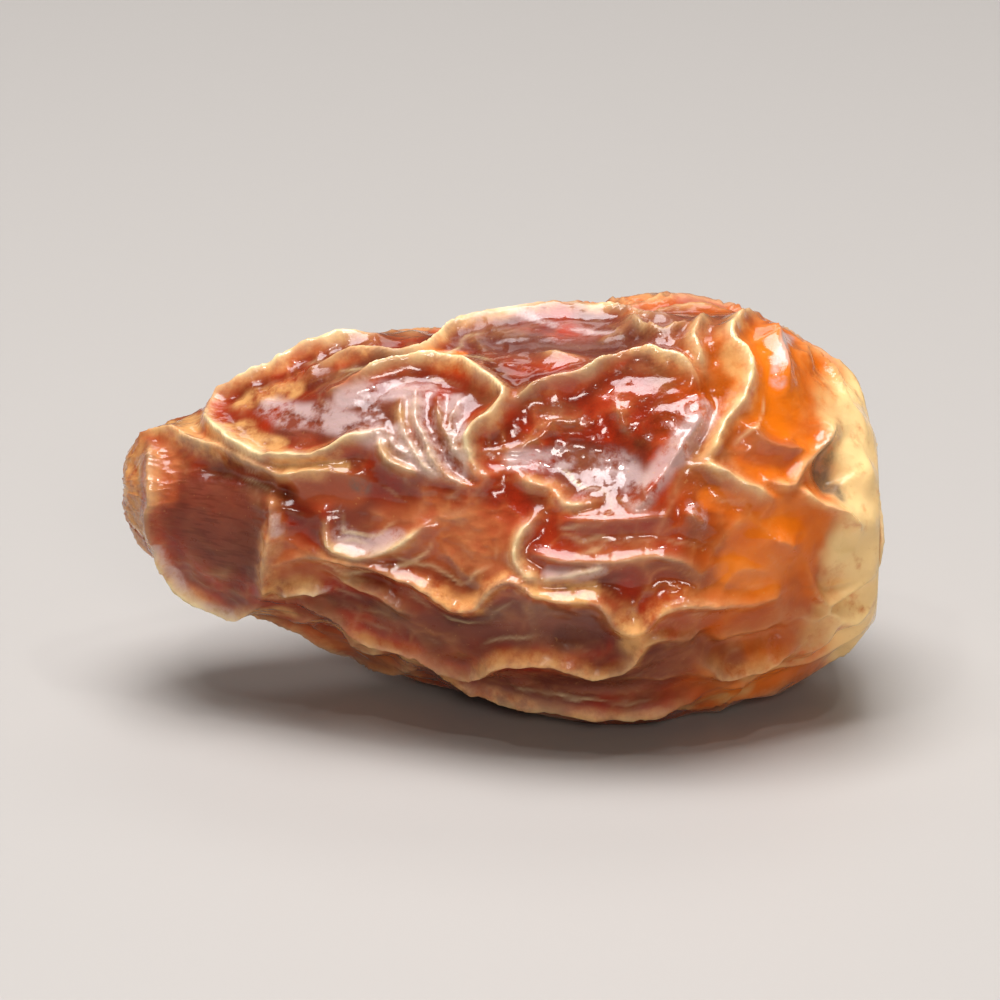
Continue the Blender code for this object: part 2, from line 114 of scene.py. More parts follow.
def closedGrid(name, grid, marks, flip=False):
    # A closed surface from rows of points that each go once round, with a pole at either end. The first and
    # last rows are the poles, drawn together to one point each. Marks are named values, one for each point.
    rows, round_ = grid.shape[:2]
    body = grid[1:-1].reshape(-1, 3)
    vertices = np.concatenate([grid[0].mean(axis=0)[None], body, grid[-1].mean(axis=0)[None]])
    index = 1 + np.arange((rows - 2) * round_).reshape(rows - 2, round_)
    after = np.roll(index, -1, axis=1)
    quads = np.stack([index[:-1], after[:-1], after[1:], index[1:]], axis=2).reshape(-1, 4)
    first = np.stack([np.zeros(round_, int), after[0], index[0]], axis=1)
    last = np.stack([np.full(round_, len(vertices) - 1), index[-1], after[-1]], axis=1)
    if flip:
        quads, first, last = quads[:, ::-1], first[:, ::-1], last[:, ::-1]
    mesh = bpy.data.meshes.new(name)
    mesh.from_pydata((vertices * mm).tolist(), [], first.tolist() + quads.tolist() + last.tolist())
    for label, values in marks.items():
        kept = np.concatenate([[values[0].mean()], values[1:-1].ravel(), [values[-1].mean()]])
        mesh.attributes.new(label, "FLOAT", "POINT").data.foreach_set("value", kept.astype(np.float32))
    mesh.shade_smooth()
    piece = bpy.data.objects.new(name, mesh)
    bpy.context.scene.collection.objects.link(piece)
    return piece


# The fruit. Lengths in millimetres, angles in degrees.
fruitValues = {
    "round": 356, "rows": 272, "frontDetail": 0.2,
    "viewTilt": 20.0, "restSag": 0.85, "restPlace": 25.5, "restSpan": (8.5, 5.5),
    # From the tip's pole to the middle of the stem end: distance from the tip, middle, half height, half
    # depth
    "stations": [
        (0.0, 0.8, 0.0, 0.0), (0.2, 0.8, 2.4, 2.3), (1.0, 0.6, 3.5, 3.5), (2.4, 0.5, 4.3, 4.4),
        (4.8, 0.4, 5.4, 5.6), (8.6, 0.9, 7.2, 7.2), (13.0, 0.9, 8.8, 8.8), (18.5, 0.0, 9.7, 10.1),
        (24.0, -0.3, 11.5, 11.2), (28.3, -0.4, 12.0, 11.7), (33.2, -0.1, 11.3, 11.2), (37.0, -0.2, 9.8, 9.8),
        (39.4, -0.5, 8.3, 8.2), (41.0, -0.9, 6.7, 6.6), (41.8, -1.1, 5.6, 5.5), (42.0, -1.2, 5.1, 5.1),
        (41.8, -1.2, 4.6, 4.6), (41.3, -1.2, 3.9, 3.9), (40.8, -1.2, 3.0, 3.0), (40.5, -1.2, 1.6, 1.6),
        (40.4, -1.2, 0.0, 0.0),
    ],
    "belly": {"height": 1.3, "place": 17.0, "length": 5.5, "angle": -112.0, "width": 0.6},
    # The chief pleats: height, half width, and points as (distance from the tip, height above the middle)
    "pleats": [
        # The loop near the tip: its outer, inner and lower sides, and the arch in it
        (0.65, 0.42, 0.90, ((4.9, 5.2), (5.3, 6.1), (6.1, 7.0), (7.5, 7.6), (8.7, 7.9), (9.8, 8.6),
                            (11.2, 9.2), (12.6, 9.7), (14.0, 10.0))),
        (0.60, 0.40, 0.65, ((10.5, 7.9), (12.0, 8.5), (13.4, 8.6), (15.0, 8.3), (17.0, 8.4), (18.4, 9.3),
                            (19.9, 10.4), (22.1, 11.0), (24.7, 11.2), (27.5, 11.1), (30.0, 10.6))),
        (0.95, 0.42, 1.00, ((4.9, 5.6), (5.2, 4.5), (6.1, 3.7), (7.2, 3.0), (8.4, 2.6), (9.8, 2.6),
                            (11.2, 2.8), (12.6, 3.4), (14.4, 4.0))),
        (0.85, 0.46, 0.85, ((12.0, 6.5), (13.4, 7.1), (14.9, 7.5), (16.5, 7.7), (17.8, 7.7), (19.1, 7.4),
                            (20.4, 6.7), (21.4, 5.7), (20.8, 4.9), (19.7, 4.2), (19.3, 3.4), (19.5, 2.5),
                            (20.3, 1.5))),
        # The crumple under the arch
        (0.50, 0.24, 0.30, ((16.4, 6.0), (16.7, 4.2), (17.2, 3.0), (18.1, 1.7), (19.4, 1.1))),
        (0.34, 0.20, 0.25, ((17.7, 5.6), (18.0, 4.2), (18.6, 3.0), (19.4, 2.0), (20.0, 1.3))),
        (0.42, 0.22, 0.30, ((15.6, 5.6), (15.8, 4.2), (16.3, 3.0), (17.2, 1.9), (18.0, 1.4))),
        (0.50, 0.26, 0.45, ((14.4, 3.8), (14.8, 2.8), (15.6, 2.0), (16.7, 1.6))),
        (0.24, 0.18, 0.15, ((18.8, 5.5), (18.4, 4.2), (18.8, 3.3), (19.2, 2.2))),
        (0.28, 0.18, 0.15, ((14.8, 4.2), (15.3, 3.3), (16.1, 2.4))),
        # Round the deep pocket in the middle
        (0.90, 0.46, 0.75, ((21.6, 5.4), (22.9, 6.3), (24.2, 6.6), (25.9, 7.3), (27.2, 7.8), (28.7, 8.1),
                            (30.0, 8.0), (31.1, 7.7), (31.8, 6.9))),
        (0.62, 0.95, 0.05, ((32.4, 5.5), (31.5, 4.0), (30.4, 2.5), (29.4, 0.8), (28.3, -0.2))),
        (0.50, 0.34, 0.60, ((25.9, 0.0), (24.7, 0.0), (24.0, 0.8), (22.9, 1.2), (22.0, 1.6))),
        (0.50, 0.32, 0.70, ((23.4, -4.0), (22.2, -3.4), (21.9, -2.4), (22.3, -1.4), (22.9, -0.7))),
        (0.26, 0.40, 0.10, ((24.6, -1.0), (26.4, -0.9), (28.5, -0.6), (30.0, -0.6))),
        (0.26, 0.34, 0.30, ((22.9, -2.6), (25.1, -3.0), (27.2, -3.0), (29.4, -2.7), (31.0, -3.1),
                            (32.0, -3.8))),
        (0.30, 0.32, 0.55, ((23.4, -4.0), (25.1, -3.7), (26.9, -3.3))),
        # The zigzags along the lower half, and the crease that ends them
        (0.66, 0.44, 0.30, ((8.7, -3.2), (9.8, -2.9), (11.4, -2.9), (12.9, -3.2), (15.4, -3.9),
                            (17.2, -4.5), (18.7, -5.2), (19.7, -5.2), (20.8, -4.3), (21.7, -3.9),
                            (22.9, -4.5), (24.7, -5.0), (26.4, -5.2), (27.7, -6.5), (28.5, -6.7),
                            (29.4, -5.8), (30.7, -5.2), (32.4, -5.2), (34.3, -5.5), (36.2, -5.2))),
        (0.60, 0.40, 0.32, ((10.6, -5.6), (11.9, -6.2), (13.3, -7.0), (15.0, -7.3), (16.5, -7.6),
                            (18.2, -8.4), (19.7, -8.9), (20.8, -8.2), (22.9, -8.0), (25.1, -8.5),
                            (26.8, -8.9), (27.9, -8.6), (28.9, -7.3), (30.2, -6.9), (31.5, -7.1))),
        (-0.80, 0.45, 0.00, ((31.7, -6.9), (32.2, -7.7), (33.0, -8.5), (34.5, -8.2), (36.2, -7.9),
                             (37.5, -7.4))),
        (0.50, 0.42, 0.30, ((32.4, -9.1), (33.6, -9.4), (35.2, -9.1), (37.0, -8.3))),
        (0.70, 0.50, 0.45, ((18.0, -9.4), (21.5, -10.4), (24.5, -11.0), (26.8, -11.4), (29.4, -11.4),
                            (31.5, -11.0))),
        (0.50, 0.34, 0.80, ((11.3, -1.0), (11.5, -2.1), (13.3, -2.9), (15.5, -2.3), (16.8, -1.3))),
        (0.45, 0.34, 0.45, ((9.2, -4.8), (10.2, -4.6), (11.3, -4.8))),
        (0.45, 0.34, 0.30, ((12.0, -3.9), (12.9, -4.4), (14.7, -5.0), (16.2, -5.8))),
        # The shoulder, the valley beside it, and the creases that run to the dent near the stem end
        (0.85, 0.50, 0.85, ((35.2, 10.0), (34.1, 9.6), (33.5, 8.7), (34.1, 8.1), (34.7, 7.2), (34.4, 6.1),
                            (33.4, 4.7), (32.4, 3.0), (31.6, 2.3))),
        (-0.90, 0.55, 0.00, ((32.2, 8.4), (32.7, 7.0), (32.9, 5.7), (32.2, 3.9), (31.2, 2.4))),
        (0.50, 0.32, 0.50, ((32.4, 10.1), (31.7, 8.9), (32.3, 7.5))),
        (0.40, 0.30, 0.45, ((28.2, 10.8), (28.9, 10.0), (30.2, 9.5), (31.2, 9.9))),
        (0.65, 0.36, 0.75, ((31.7, 2.5), (33.2, 1.7), (34.3, 1.0), (35.8, 0.3))),
        (0.55, 0.38, 0.55, ((35.8, 1.2), (37.1, 1.2), (37.9, 2.3), (38.6, 2.9), (39.6, 4.6))),
        (0.55, 0.40, 0.60, ((37.3, 0.9), (38.8, 0.0), (40.1, -0.7), (40.9, -1.6))),
        (-1.00, 1.00, 0.00, ((38.8, 3.4), (39.6, 2.0), (40.2, 0.9))),
        (0.40, 0.65, 0.12, ((34.4, 4.5), (35.6, 3.5), (37.0, 3.0), (37.9, 3.2))),
        (0.45, 0.65, 0.10, ((35.8, 9.4), (36.4, 8.0), (36.8, 6.4))),
        (0.35, 0.50, 0.10, ((31.2, -0.4), (32.1, -1.0))),
        (0.30, 0.45, 0.10, ((36.0, -1.9), (37.2, -2.5))),
        # The facets of the tip
        (0.60, 0.50, 0.42, ((1.2, 3.8), (2.6, 4.1), (4.1, 3.5), (5.6, 3.2), (7.2, 2.4), (8.9, 1.7),
                            (11.2, 1.9), (12.6, 1.7))),
        (-0.55, 0.40, 0.00, ((3.9, 2.6), (5.5, 2.1), (7.2, 1.4), (8.9, 0.7), (9.8, 0.0))),
        (0.45, 0.60, 0.30, ((1.6, 3.5), (1.9, 2.1), (1.7, 0.7), (1.5, -0.7), (1.6, -2.1), (1.9, -2.9))),
        (0.75, 0.50, 0.90, ((1.6, -2.4), (2.7, -3.8), (4.1, -4.8), (5.3, -5.3), (6.4, -5.6), (7.7, -5.4))),
        (0.50, 0.55, 0.30, ((8.4, 0.9), (8.6, -0.7), (8.4, -2.1), (8.2, -3.5), (8.1, -4.9))),
    ],
    # Hollows between the pleats, and one low swelling: distance from the tip, height, half length, half
    # width, slant, depth
    "hollows": [(26, 2.7, 4, 2.3, 8, 1.25), (10.4, 5.3, 6, 2, 6, -0.25), (24, 9.4, 4.5, 1.1, 2, 0.3),
                (5, -1.2, 3.6, 4, 0, 0.3), (13, 0.4, 3, 1, -8, 0.2), (19.2, -6.6, 3.2, 0.9, -12, 0.25),
                (25, -6.8, 2.2, 1, -8, 0.3), (26, -10.1, 4.5, 0.8, -4, 0.2)],
    "pleatStep": 0.45, "pleatReach": 0.97, "sag": 0.5, "sagWidth": 0.9, "lineWidth": 0.25, "bandWidth": 0.58,
    "echoHeight": 0.12, "unevenness": 0.3,
    # The net of folds over the rest of the skin, bent by noise of (reach, size, seed)
    "cells": 118, "cellSeed": 11, "cellStretch": 0.5, "foldHeight": 0.78, "foldWidth": 0.42,
    "pocketDepth": 0.42, "bends": ((1.5, 4.5, 21), (0.45, 1.7, 31)), "netBesidePleats": 0.15,
    "swellHeight": 0.35, "swellSize": 7.0, "swellSeed": 5, "gatherHeight": 0.16, "gathers": 11,
    # The finer relief that the skin has beyond the solid's
    "fineCells": 900, "fineSeed": 12, "fineStretch": 0.62, "fineBends": ((0.5, 1.4, 51), (0.2, 0.6, 61)),
    "pinch": 0.10, "wander": 0.22, "fineHeight": 0.22, "threadHeight": 0.09, "crinkleHeight": 0.12,
    "pitHeight": 0.02,
    # Patches of tight crumples: distance from the tip, height above the middle, reach, height
    "crumples": [(17.2, 2.8, 2.6, 0.14), (26.5, 1.8, 2.6, 0.13), (24.6, 4.2, 2.4, 0.1),
                 (28.2, 5.6, 2.2, 0.12), (31.6, 5, 2, 0.18), (30.4, 9.8, 2.6, 0.2), (21.6, 9.6, 2.6, 0.08),
                 (34, 1, 1.6, 0.1)],
    # How much of each tint there is behind
    "wildness": {"red": 0.7, "mauveSheen": 0.8, "deep": 0.5, "lined": 0.5, "pink": 0.25, "amber": 0.35, "tan": 0.2,
                 "paintedSheen": 0.3, "satin": 0.4, "dusk": 0.0},
    # Where the front's skin is red, mauve-brown with a painted sheen, deep red with painted shade, finely
    # lined, pink, amber or tan (along the bottom edge a painted glow), or has a pale painted sheen with
    # painted highlights, a satin face or a dull grey-brown patch: strips of a reach round a line of points,
    # as (distance from the tip, height)
    "tints": {
        "red": [(1.9, ((21.8, 3.4), (23.5, 4.8), (25.5, 5.3), (28.4, 5.5))), (0.9, ((12.8, 2.3), (14, 2.7))),
                (0.6, ((4.2, 2.3), (5.4, 1.9), (7.2, 1.6), (8.6, 1))),
                (0.9, ((17.4, 0.8), (19.4, 0.5), (21.6, 0.4))),
                (1.2, ((22.4, -0.3), (22.8, -1.6), (24.4, -2), (27.4, -1.7), (30.4, -1.8))),
                (1.2, ((28.6, -4.2), (30, -4.6))), (1, ((11.6, -4.6), (13.6, -5), (15.4, -5.2))),
                (0.8, ((24, -7.2), (26.4, -7.6))), (0.8, ((31.4, 6.2), (31.8, 5.4))),
                (1, ((9.6, 0.2), (10.6, -1)))],
        # Mauve: a painted sheen, the reflection of the white surroundings painted as mauve-brown over the
        # dark red skin.
        "mauveSheen": [(2.9, ((4.6, -0.2), (5.4, -2.6))), (1.2, ((7, 0.4), (7.4, -3.6))),
                  (1.6, ((9.6, 5), (12, 5), (15.5, 5.3))), (0.8, ((11.4, 7), (13.4, 7.8), (16, 8.2))),
                  (1.8, ((19.8, 9.4), (22.5, 9), (26, 9.5), (29.8, 9.8))),
                  (2.2, ((27, 10.9), (30.6, 10.8), (33.2, 9.8))), (1.3, ((28.4, -7.6), (31, -8), (34, -8.8))),
                  (1.5, ((12.6, -0.9), (14.8, -1.1))),
                  (1.5, ((15, -6), (18, -6.8), (20.5, -6.3), (23, -6.2), (25.8, -6.6))),
                  (1.7, ((21.5, -10), (26.5, -10), (30, -9.2), (31.6, -8.2))),
                  (1.5, ((24.6, 2.4), (28, 1.8)))],
        # Deep: painted shade over a dark red, below the lower folds, in valleys and over the top facet.
        "deep": [(0.9, ((23, -9.6), (27.6, -9.9))), (0.8, ((11.8, -5.4), (15.4, -6))),
                 (0.6, ((18.4, -6.2), (20.6, -5.6))), (0.8, ((9.4, 0), (10.8, -1.3))),
                 (0.7, ((24.4, -7), (26.4, -7.4))), (1.2, ((20.5, 9.1), (24, 9.2), (28.5, 9.6))),
                 (0.5, ((10.4, 7.2), (12.6, 7.8), (15, 7.9))),
                 (0.45, ((19.6, 8.4), (20.6, 7.4), (21.6, 6.4))),
                 (0.45, ((33, 7), (33, 5.6), (32.2, 3.9), (31.2, 2.2)))],
        "lined": [(3, ((4.8, -0.4), (5.6, -2.6))), (1.6, ((10, 5), (14, 5))),
                  (1.8, ((20, 9.2), (29.5, 9.6)))],
        "pink": [(1.3, ((10.4, 0.9), (12.4, 0.8))), (1.9, ((15.4, -1), (18, -1.8), (21, -2.2))),
                 (1.1, ((9.2, -2.4), (9.6, -3.8), (11.6, -3.5))), (1.9, ((35.2, -7), (38, -7))),
                 (1, ((34.4, 3.4), (36.6, 2.9))), (0.9, ((2.5, 3.2), (2.3, 0.6))),
                 (1, ((30.4, -6), (32.4, -6.2))), (0.5, ((25.6, -2.8), (29.4, -2.7)))],
        "amber": [(2.4, ((35.8, 5.8), (37.4, 5), (38, 7.4), (36.2, 7.4))),
                  (2.6, ((35.2, -0.8), (37, -1), (37.2, -3), (35.4, -3.2), (35.4, -1.8))),
                  (1.6, ((34.2, -3.4), (34.6, -2))), (1.4, ((37.6, 1.6), (38.2, 3.4))),
                  (1.5, ((38.2, 0.4), (38.5, -1.6), (38.2, -4))), (1.2, ((34.4, 9.2), (34.8, 8.4))),
                  (0.9, ((32.6, 0.4), (33.6, 0))), (0.5, ((17.4, 8.2), (18.8, 8.4))),
                  (1.6, ((33.4, -10.8), (36, -9.8)))],
        "tan": [(1.4, ((2, 4.4), (3.8, 4.6))), (1.5, ((0.3, 3), (0.2, 0.4), (0.5, -1.6))),
                (0.9, ((1.4, -2.8), (2.4, -4.2))), (0.8, ((6.6, 6.1), (8, 6.8), (9.4, 6.9))),
                (0.8, ((6.4, 4.6), (7.4, 3.8), (8.6, 3.4))), (0.45, ((8.6, 2), (10.6, 1.9), (12.4, 2.1))),
                (0.8, ((8.6, -4.8), (10.6, -4.6))), (0.8, ((7, -5.9), (9, -6))),
                (0.8, ((33.8, 8), (34.2, 7.2))), (1.7, ((39.6, 6.2), (40, 4.6))),
                (2, ((40.8, -1.6), (40.4, -4.6), (39.2, -7.4))), (1.3, ((38, -8.6), (35.4, -9.4))),
                # Along the bottom edge this tan strip is a painted glow along the lower rim.
                (0.7, ((11, -7.6), (14, -8.8), (17, -9.9), (20, -10.9), (23, -11.7),
                        (26, -12.1), (29, -12.2), (32, -11.9), (35, -11))),
                (0.8, ((28, -6.2), (28.2, -7.4))), (0.6, ((23.4, -4.4), (26, -4.6)))],
        # Film: a pale painted sheen, with painted highlights and glints, along the glossy folds and facets.
        "paintedSheen": [(0.95, ((8, 6), (9.4, 5.5), (11, 5.1), (12.6, 4.5), (14.2, 3.8))),
                 (0.8, ((12.4, 5.9), (14.4, 6.4), (17, 6.3))), (0.7, ((15.4, 3.8), (16.2, 2.7), (17.4, 2))),
                 (0.8, ((16.6, 5.6), (17, 4.2), (17.8, 2.8), (18.8, 1.8))),
                 (0.7, ((18.5, 5.6), (18.6, 4), (19, 2.6))), (0.7, ((21.8, 2.5), (23, 2.6), (24.4, 2.8))),
                 (0.9, ((26.6, 2.8), (27.6, 2.4), (28.4, 1.2))),
                 (0.85, ((32.2, 5.2), (31, 3.6), (29.8, 1.8), (28.7, 0.2))),
                 (0.6, ((12.2, -1.8), (13.4, -2.3), (15.4, -1.8))),
                 (0.4, ((23.8, -3.7), (25.2, -3.8), (26.6, -3.5))), (0.5, ((31.6, -0.1), (32, -1))),
                 (0.35, ((1.9, -2.6), (2.8, -3.7), (4, -4.6), (5.5, -5.4), (6.8, -5.6))),
                 (0.3, ((8.7, -0.7), (8.9, -1.5))), (0.3, ((19.5, 10), (21.5, 10.3), (24, 10.4), (27, 10.2))),
                 (0.5, ((37, 9.2), (36.4, 8), (36.3, 6.8))), (0.3, ((9.4, -4.8), (11.4, -4.8)))],
        "satin": [(3.6, ((4.6, -0.4), (5.6, -2.6))), (2.6, ((10, -4.6), (14, -5.4), (18, -6.8), (22, -8))),
                  (3.4, ((22, -8.6), (26, -8.8), (30, -8.6), (34, -8), (36.6, -7))),
                  (2.4, ((37.6, 0.4), (38.6, -2), (38.2, -5.4))), (2.2, ((20, 9.4), (25, 9.4), (31, 9.8))),
                  (1.2, ((11, 7.2), (16.5, 8.6)))],
        "dusk": [(0.85, ((39.5, 3.3), (39.7, 1.8), (40, 0.8))), (0.62, ((13.1, 1.1), (13.3, 1)))],
    },
}

tilt = math.radians(fruitValues["viewTilt"])
stations = np.array(fruitValues["stations"])
meridian = np.concatenate([[0.0], np.cumsum(np.hypot(np.diff(stations[:, 0]), np.diff(stations[:, 2])))])
crest = meridian[int(np.argmax(stations[:, 0]))]  # where the skin turns over into the stem end's dish


def sections(along):  # the stations' values at a length along the meridian
    found = smoothCurve(meridian, stations, along)
    found[:, 2:] = np.maximum(found[:, 2:], 0.0)
    return found


# Heights and depths are square to the line of sight, so they are tilted with it.
def inSpace(x, height, depth):
    return np.stack([x, height * math.sin(tilt) - depth * math.cos(tilt),
                     height * math.cos(tilt) + depth * math.sin(tilt)], axis=1)


def smoothSkin(along, around):
    # An ellipse at each station, depth = a cos, height = b sin, swollen by slow lobes and by the belly.
    # Around is 0 at the front and a quarter turn at the top.
    x, middle, halfHeight, halfDepth = sections(along).T
    belly = fruitValues["belly"]
    lobe = 1.0 + 0.018 * np.cos(3 * around + 0.09 * along) + 0.012 * np.cos(5 * around - 0.16 * along + 1.0)
    turn = (around - math.radians(belly["angle"]) + math.pi) % math.tau - math.pi
    bell = np.exp(-((x - belly["place"]) / belly["length"])**2 - (turn / belly["width"])**2)
    lobe += belly["height"] * bell / np.maximum(halfHeight, belly["height"])
    return inSpace(x, middle + halfHeight * np.sin(around) * lobe, halfDepth * np.cos(around) * lobe)


def skinNormals(along, around):  # the cross product of small steps along and round the smooth skin
    step = 0.02
    inside = np.clip(along, step * 2, meridian[-1] - step * 2)
    lengthwise = smoothSkin(inside + step, around) - smoothSkin(inside - step, around)
    girthwise = smoothSkin(inside, around + step) - smoothSkin(inside, around - step)
    normals = np.cross(lengthwise, girthwise)
    return normals / np.linalg.norm(normals, axis=1, keepdims=True)


def frontAngles(x, height):  # length along the meridian and angle round it of places seen on the front
    outside = np.linspace(0.0, crest, 400)
    along = np.interp(x, sections(outside)[:, 0], outside)
    section = sections(along)
    reach = fruitValues["pleatReach"]
    return along, np.arcsin(np.clip((height - section[:, 1]) / section[:, 2], -reach, reach))


def frontPlace(x, height):
    return smoothSkin(*frontAngles(np.array([x]), np.array([height])))[0]


def laidPath(points):  # a pleat's points laid on the smooth skin and joined by a smooth curve
    x, height = np.array(points).T
    along, around = frontAngles(x, height)
    knots = np.concatenate([[0.0], np.cumsum(np.hypot(np.diff(x), np.diff(height)))])
    at = np.linspace(0.0, knots[-1], int(knots[-1] / fruitValues["pleatStep"]) + 2)
    laid = smoothCurve(knots, np.stack([along, around], axis=1), at)
    return smoothSkin(laid[:, 0], laid[:, 1])


def distanceToPath(points, path):  # the distance from each point to the path, and where along it, 0 to 1
    starts, steps = path[:-1], np.diff(path, axis=0)
    lengths = (steps**2).sum(axis=1)
    distance, share = np.full(len(points), 99.0), np.zeros(len(points))
    margin = 5.0  # beyond it no formula looks at the distance
    inside = (points > path.min(axis=0) - margin) & (points < path.max(axis=0) + margin)
    near = np.nonzero(np.all(inside, axis=1))[0]
    for some in np.array_split(near, len(near) // 4000 + 1):
        offset = points[some, None, :] - starts
        t = np.clip((offset * steps).sum(axis=2) / lengths, 0.0, 1.0)
        gaps = ((offset - t[..., None] * steps)**2).sum(axis=2)
        best = gaps.argmin(axis=1)
        rows = np.arange(len(best))
        distance[some] = np.sqrt(gaps[rows, best])
        share[some] = (best + t[rows, best]) / len(steps)
    return distance, share


def pleatRelief(points):
    # Each pleat is a ridge, height * exp(-distance / width). Ridges are added as cubes, so that crossing
    # pleats don't pile up, and the skin between them sags by 1 - exp(-distance / width). Also gives the
    # distance to the nearest pleat, its pale crest line, the gold band on either side of it, and the dark
    # foot beyond that: painted shade under the fold over the fold's own darker red. Here and there a small
    # ridge with a faint line, the echo, runs beside a pleat. Noise bends the pleats, and makes their
    # heights, lines and bands uneven.
    values = fruitValues
    bend = np.stack([cloudy(points, 1.6, 41 + axis) for axis in range(3)], axis=1)
    moved = points + values["wander"] * bend
    fading = 0.4 + 0.6 * ease(cloudy(points, 2.6, 47), -0.5, 0.25)
    thin = values["lineWidth"] * (1.0 + 0.6 * cloudy(points, 2.0, 49))
    raised, sunk = np.zeros(len(points)), np.zeros(len(points))
    nearest, line = np.full(len(points), 99.0), np.zeros(len(points))
    band, footRedAndShade, echoed = np.zeros(len(points)), np.zeros(len(points)), np.zeros(len(points))
    echoing = ease(cloudy(points, 3.2, 45), 0.0, 0.5)
    gilding = 0.3 + 0.7 * ease(cloudy(points, 3.0, 44), -0.45, 0.15)
    uneven = 1.0 + values["unevenness"] * cloudy(points, 1.3, 46)
    broad = 1.0 + 0.7 * cloudy(points, 2.2, 48)
    for height, halfWidth, paleness, path in values["pleats"]:
        distance, share = distanceToPath(moved, laidPath(path))
        taper = 0.25 + 0.75 * ease(share, 0.0, 0.16) * (1.0 - ease(share, 0.84, 1.0))
        rounded = np.sqrt(distance**2 + 0.01) - 0.1
        if height > 0:
            raised += (height * taper * uneven * np.exp(-rounded / (0.85 * halfWidth)))**3
            nearest = np.minimum(nearest, distance)
            line = np.maximum(line, taper * fading * paleness * np.exp(-(distance / thin)**1.5))
            echo = np.exp(-((distance - 0.75 * broad - 0.35) / 0.11)**2) * taper * echoing
            line = np.maximum(line, 0.45 * min(1.0, 2.0 * paleness) * echo)
            echoed = np.maximum(echoed, min(1.0, height) * echo)
            reach = broad * (values["bandWidth"] + halfWidth) / 2
            solid = taper * gilding * (1.0 - ease(distance, 0.4 * reach, 1.5 * reach))
            band = np.maximum(band, solid * ease(height, 0.2, 0.6) * ease(paleness, 0.05, 0.25))
            footRedAndShade = np.maximum(footRedAndShade, taper * height * ease(distance, reach, 1.7 * reach)
                              * (1.0 - ease(distance, 1.9 * reach, 4.0 * reach)))
        else:
            sunk = np.maximum(sunk, -height * taper / np.cosh(distance / halfWidth))
    sunk += values["sag"] * (1.0 - np.exp(-nearest / values["sagWidth"])) * (1.0 - ease(nearest, 3.5, 6.5))
    return np.cbrt(raised) + values["echoHeight"] * echoed - sunk, nearest, line, band, footRedAndShade


def netRelief(points, cells, seed, stretch, bends):
    # The skin is parted into cells round seeded points. The border between two cells, where the two nearest
    # points are equally far, is a fold. Gives the distance to the border, the fold's strength and the cell's
    # own draw.
    draw = np.random.default_rng(seed)
    turn = math.pi * (3.0 - math.sqrt(5.0))
    place = (np.arange(cells) + 0.5) / cells
    seeds = smoothSkin(place * crest, np.arange(cells) * turn + draw.uniform(-0.5, 0.5, cells))
    strength, depth = draw.uniform(0.25, 1.0, cells), draw.uniform(0.2, 1.0, cells)
    bent = points.copy()
    for reach, size, first in bends:
        bent += reach * np.stack([ripple(points, size, first + axis) for axis in range(3)], axis=1)
    shape = np.array([stretch, 1.0, 1.0])
    border, power, own = np.empty(len(points)), np.empty(len(points)), np.empty(len(points))
    for some in np.array_split(np.arange(len(points)), len(points) // 6000 + 1):
        gaps = np.linalg.norm((bent[some, None, :] - seeds) * shape, axis=2)
        order = np.argpartition(gaps, 2, axis=1)[:, :2]
        pair = np.take_along_axis(gaps, order, axis=1)
        border[some] = np.abs(pair[:, 1] - pair[:, 0])
        power[some] = np.sqrt(strength[order[:, 0]] * strength[order[:, 1]])
        own[some] = depth[order[np.arange(len(order)), np.argmin(pair, axis=1)]]
    return border, power, own


def crumplePatches(points):  # how high each point is crumpled: a bell round each patch's middle
    reached = np.zeros(len(points))
    for x, height, reach, strength in fruitValues["crumples"]:
        distance = np.linalg.norm(points - frontPlace(x, height), axis=1)
        reached = np.maximum(reached, strength * np.exp(-(distance / reach)**2))
    return reached


def tintMarks(points, around):
    # The front's tints are soft-edged strips, bent by noise. Behind, where none are placed, noise stands in.
    behind = 1.0 - ease(np.cos(around), -0.15, 0.25)
    bend = np.stack([cloudy(points, 2.2, 101 + axis) for axis in range(3)], axis=1)
    marks = {}
    for order, (name, strips) in enumerate(fruitValues["tints"].items()):
        spread = np.zeros(len(points))
        for reach, line in strips:
            distance = distanceToPath(points + min(0.7, 0.4 * reach) * bend, laidPath(line))[0]
            spread = np.maximum(spread, 1.0 - ease(distance, 0.5 * reach, 1.2 * reach))
        wild = fruitValues["wildness"][name] * ease(cloudy(points, 7.0, 111 + order), 0.02, 0.30)
        marks[name + "Tint"] = np.maximum(spread, behind * wild)
    return marks


def hollowDepth(points):
    # Soft oval dents, depth * exp(-(lengthwise / a)^2 - (crosswise / b)^2), and how near a point is to one.
    depth, within = np.zeros(len(points)), np.zeros(len(points))
    for x, height, halfLength, halfWidth, slant, deepest in fruitValues["hollows"]:
        turn = math.radians(slant)
        middle, ahead = frontPlace(x, height), frontPlace(x + math.cos(turn), height + math.sin(turn))
        axis = (ahead - middle) / np.linalg.norm(ahead - middle)
        offset = points - middle
        lengthwise = offset @ axis
        crosswise = np.linalg.norm(offset - lengthwise[:, None] * axis, axis=1)
        bell = np.exp(-(lengthwise / halfLength)**2 - (crosswise / halfWidth)**2)
        depth += deepest * bell
        within = np.maximum(within, bell)
    return depth, within


def crinkles(points, size, seed, layers=3):  # sharp little ridges at halving sizes, (1 - 2|noise|) squared
    bend = np.stack([cloudy(points, 1.6 * size, seed + 7 + axis, 2) for axis in range(3)], axis=1)
    bent = points + 0.45 * size * bend
    total = np.zeros(len(points))
    for k in range(layers):
        total += np.maximum(1.0 - 2.0 * np.abs(grain(bent, size / 2**k, seed + k)), 0.0)**2 / 1.8**k
    return total / 1.9


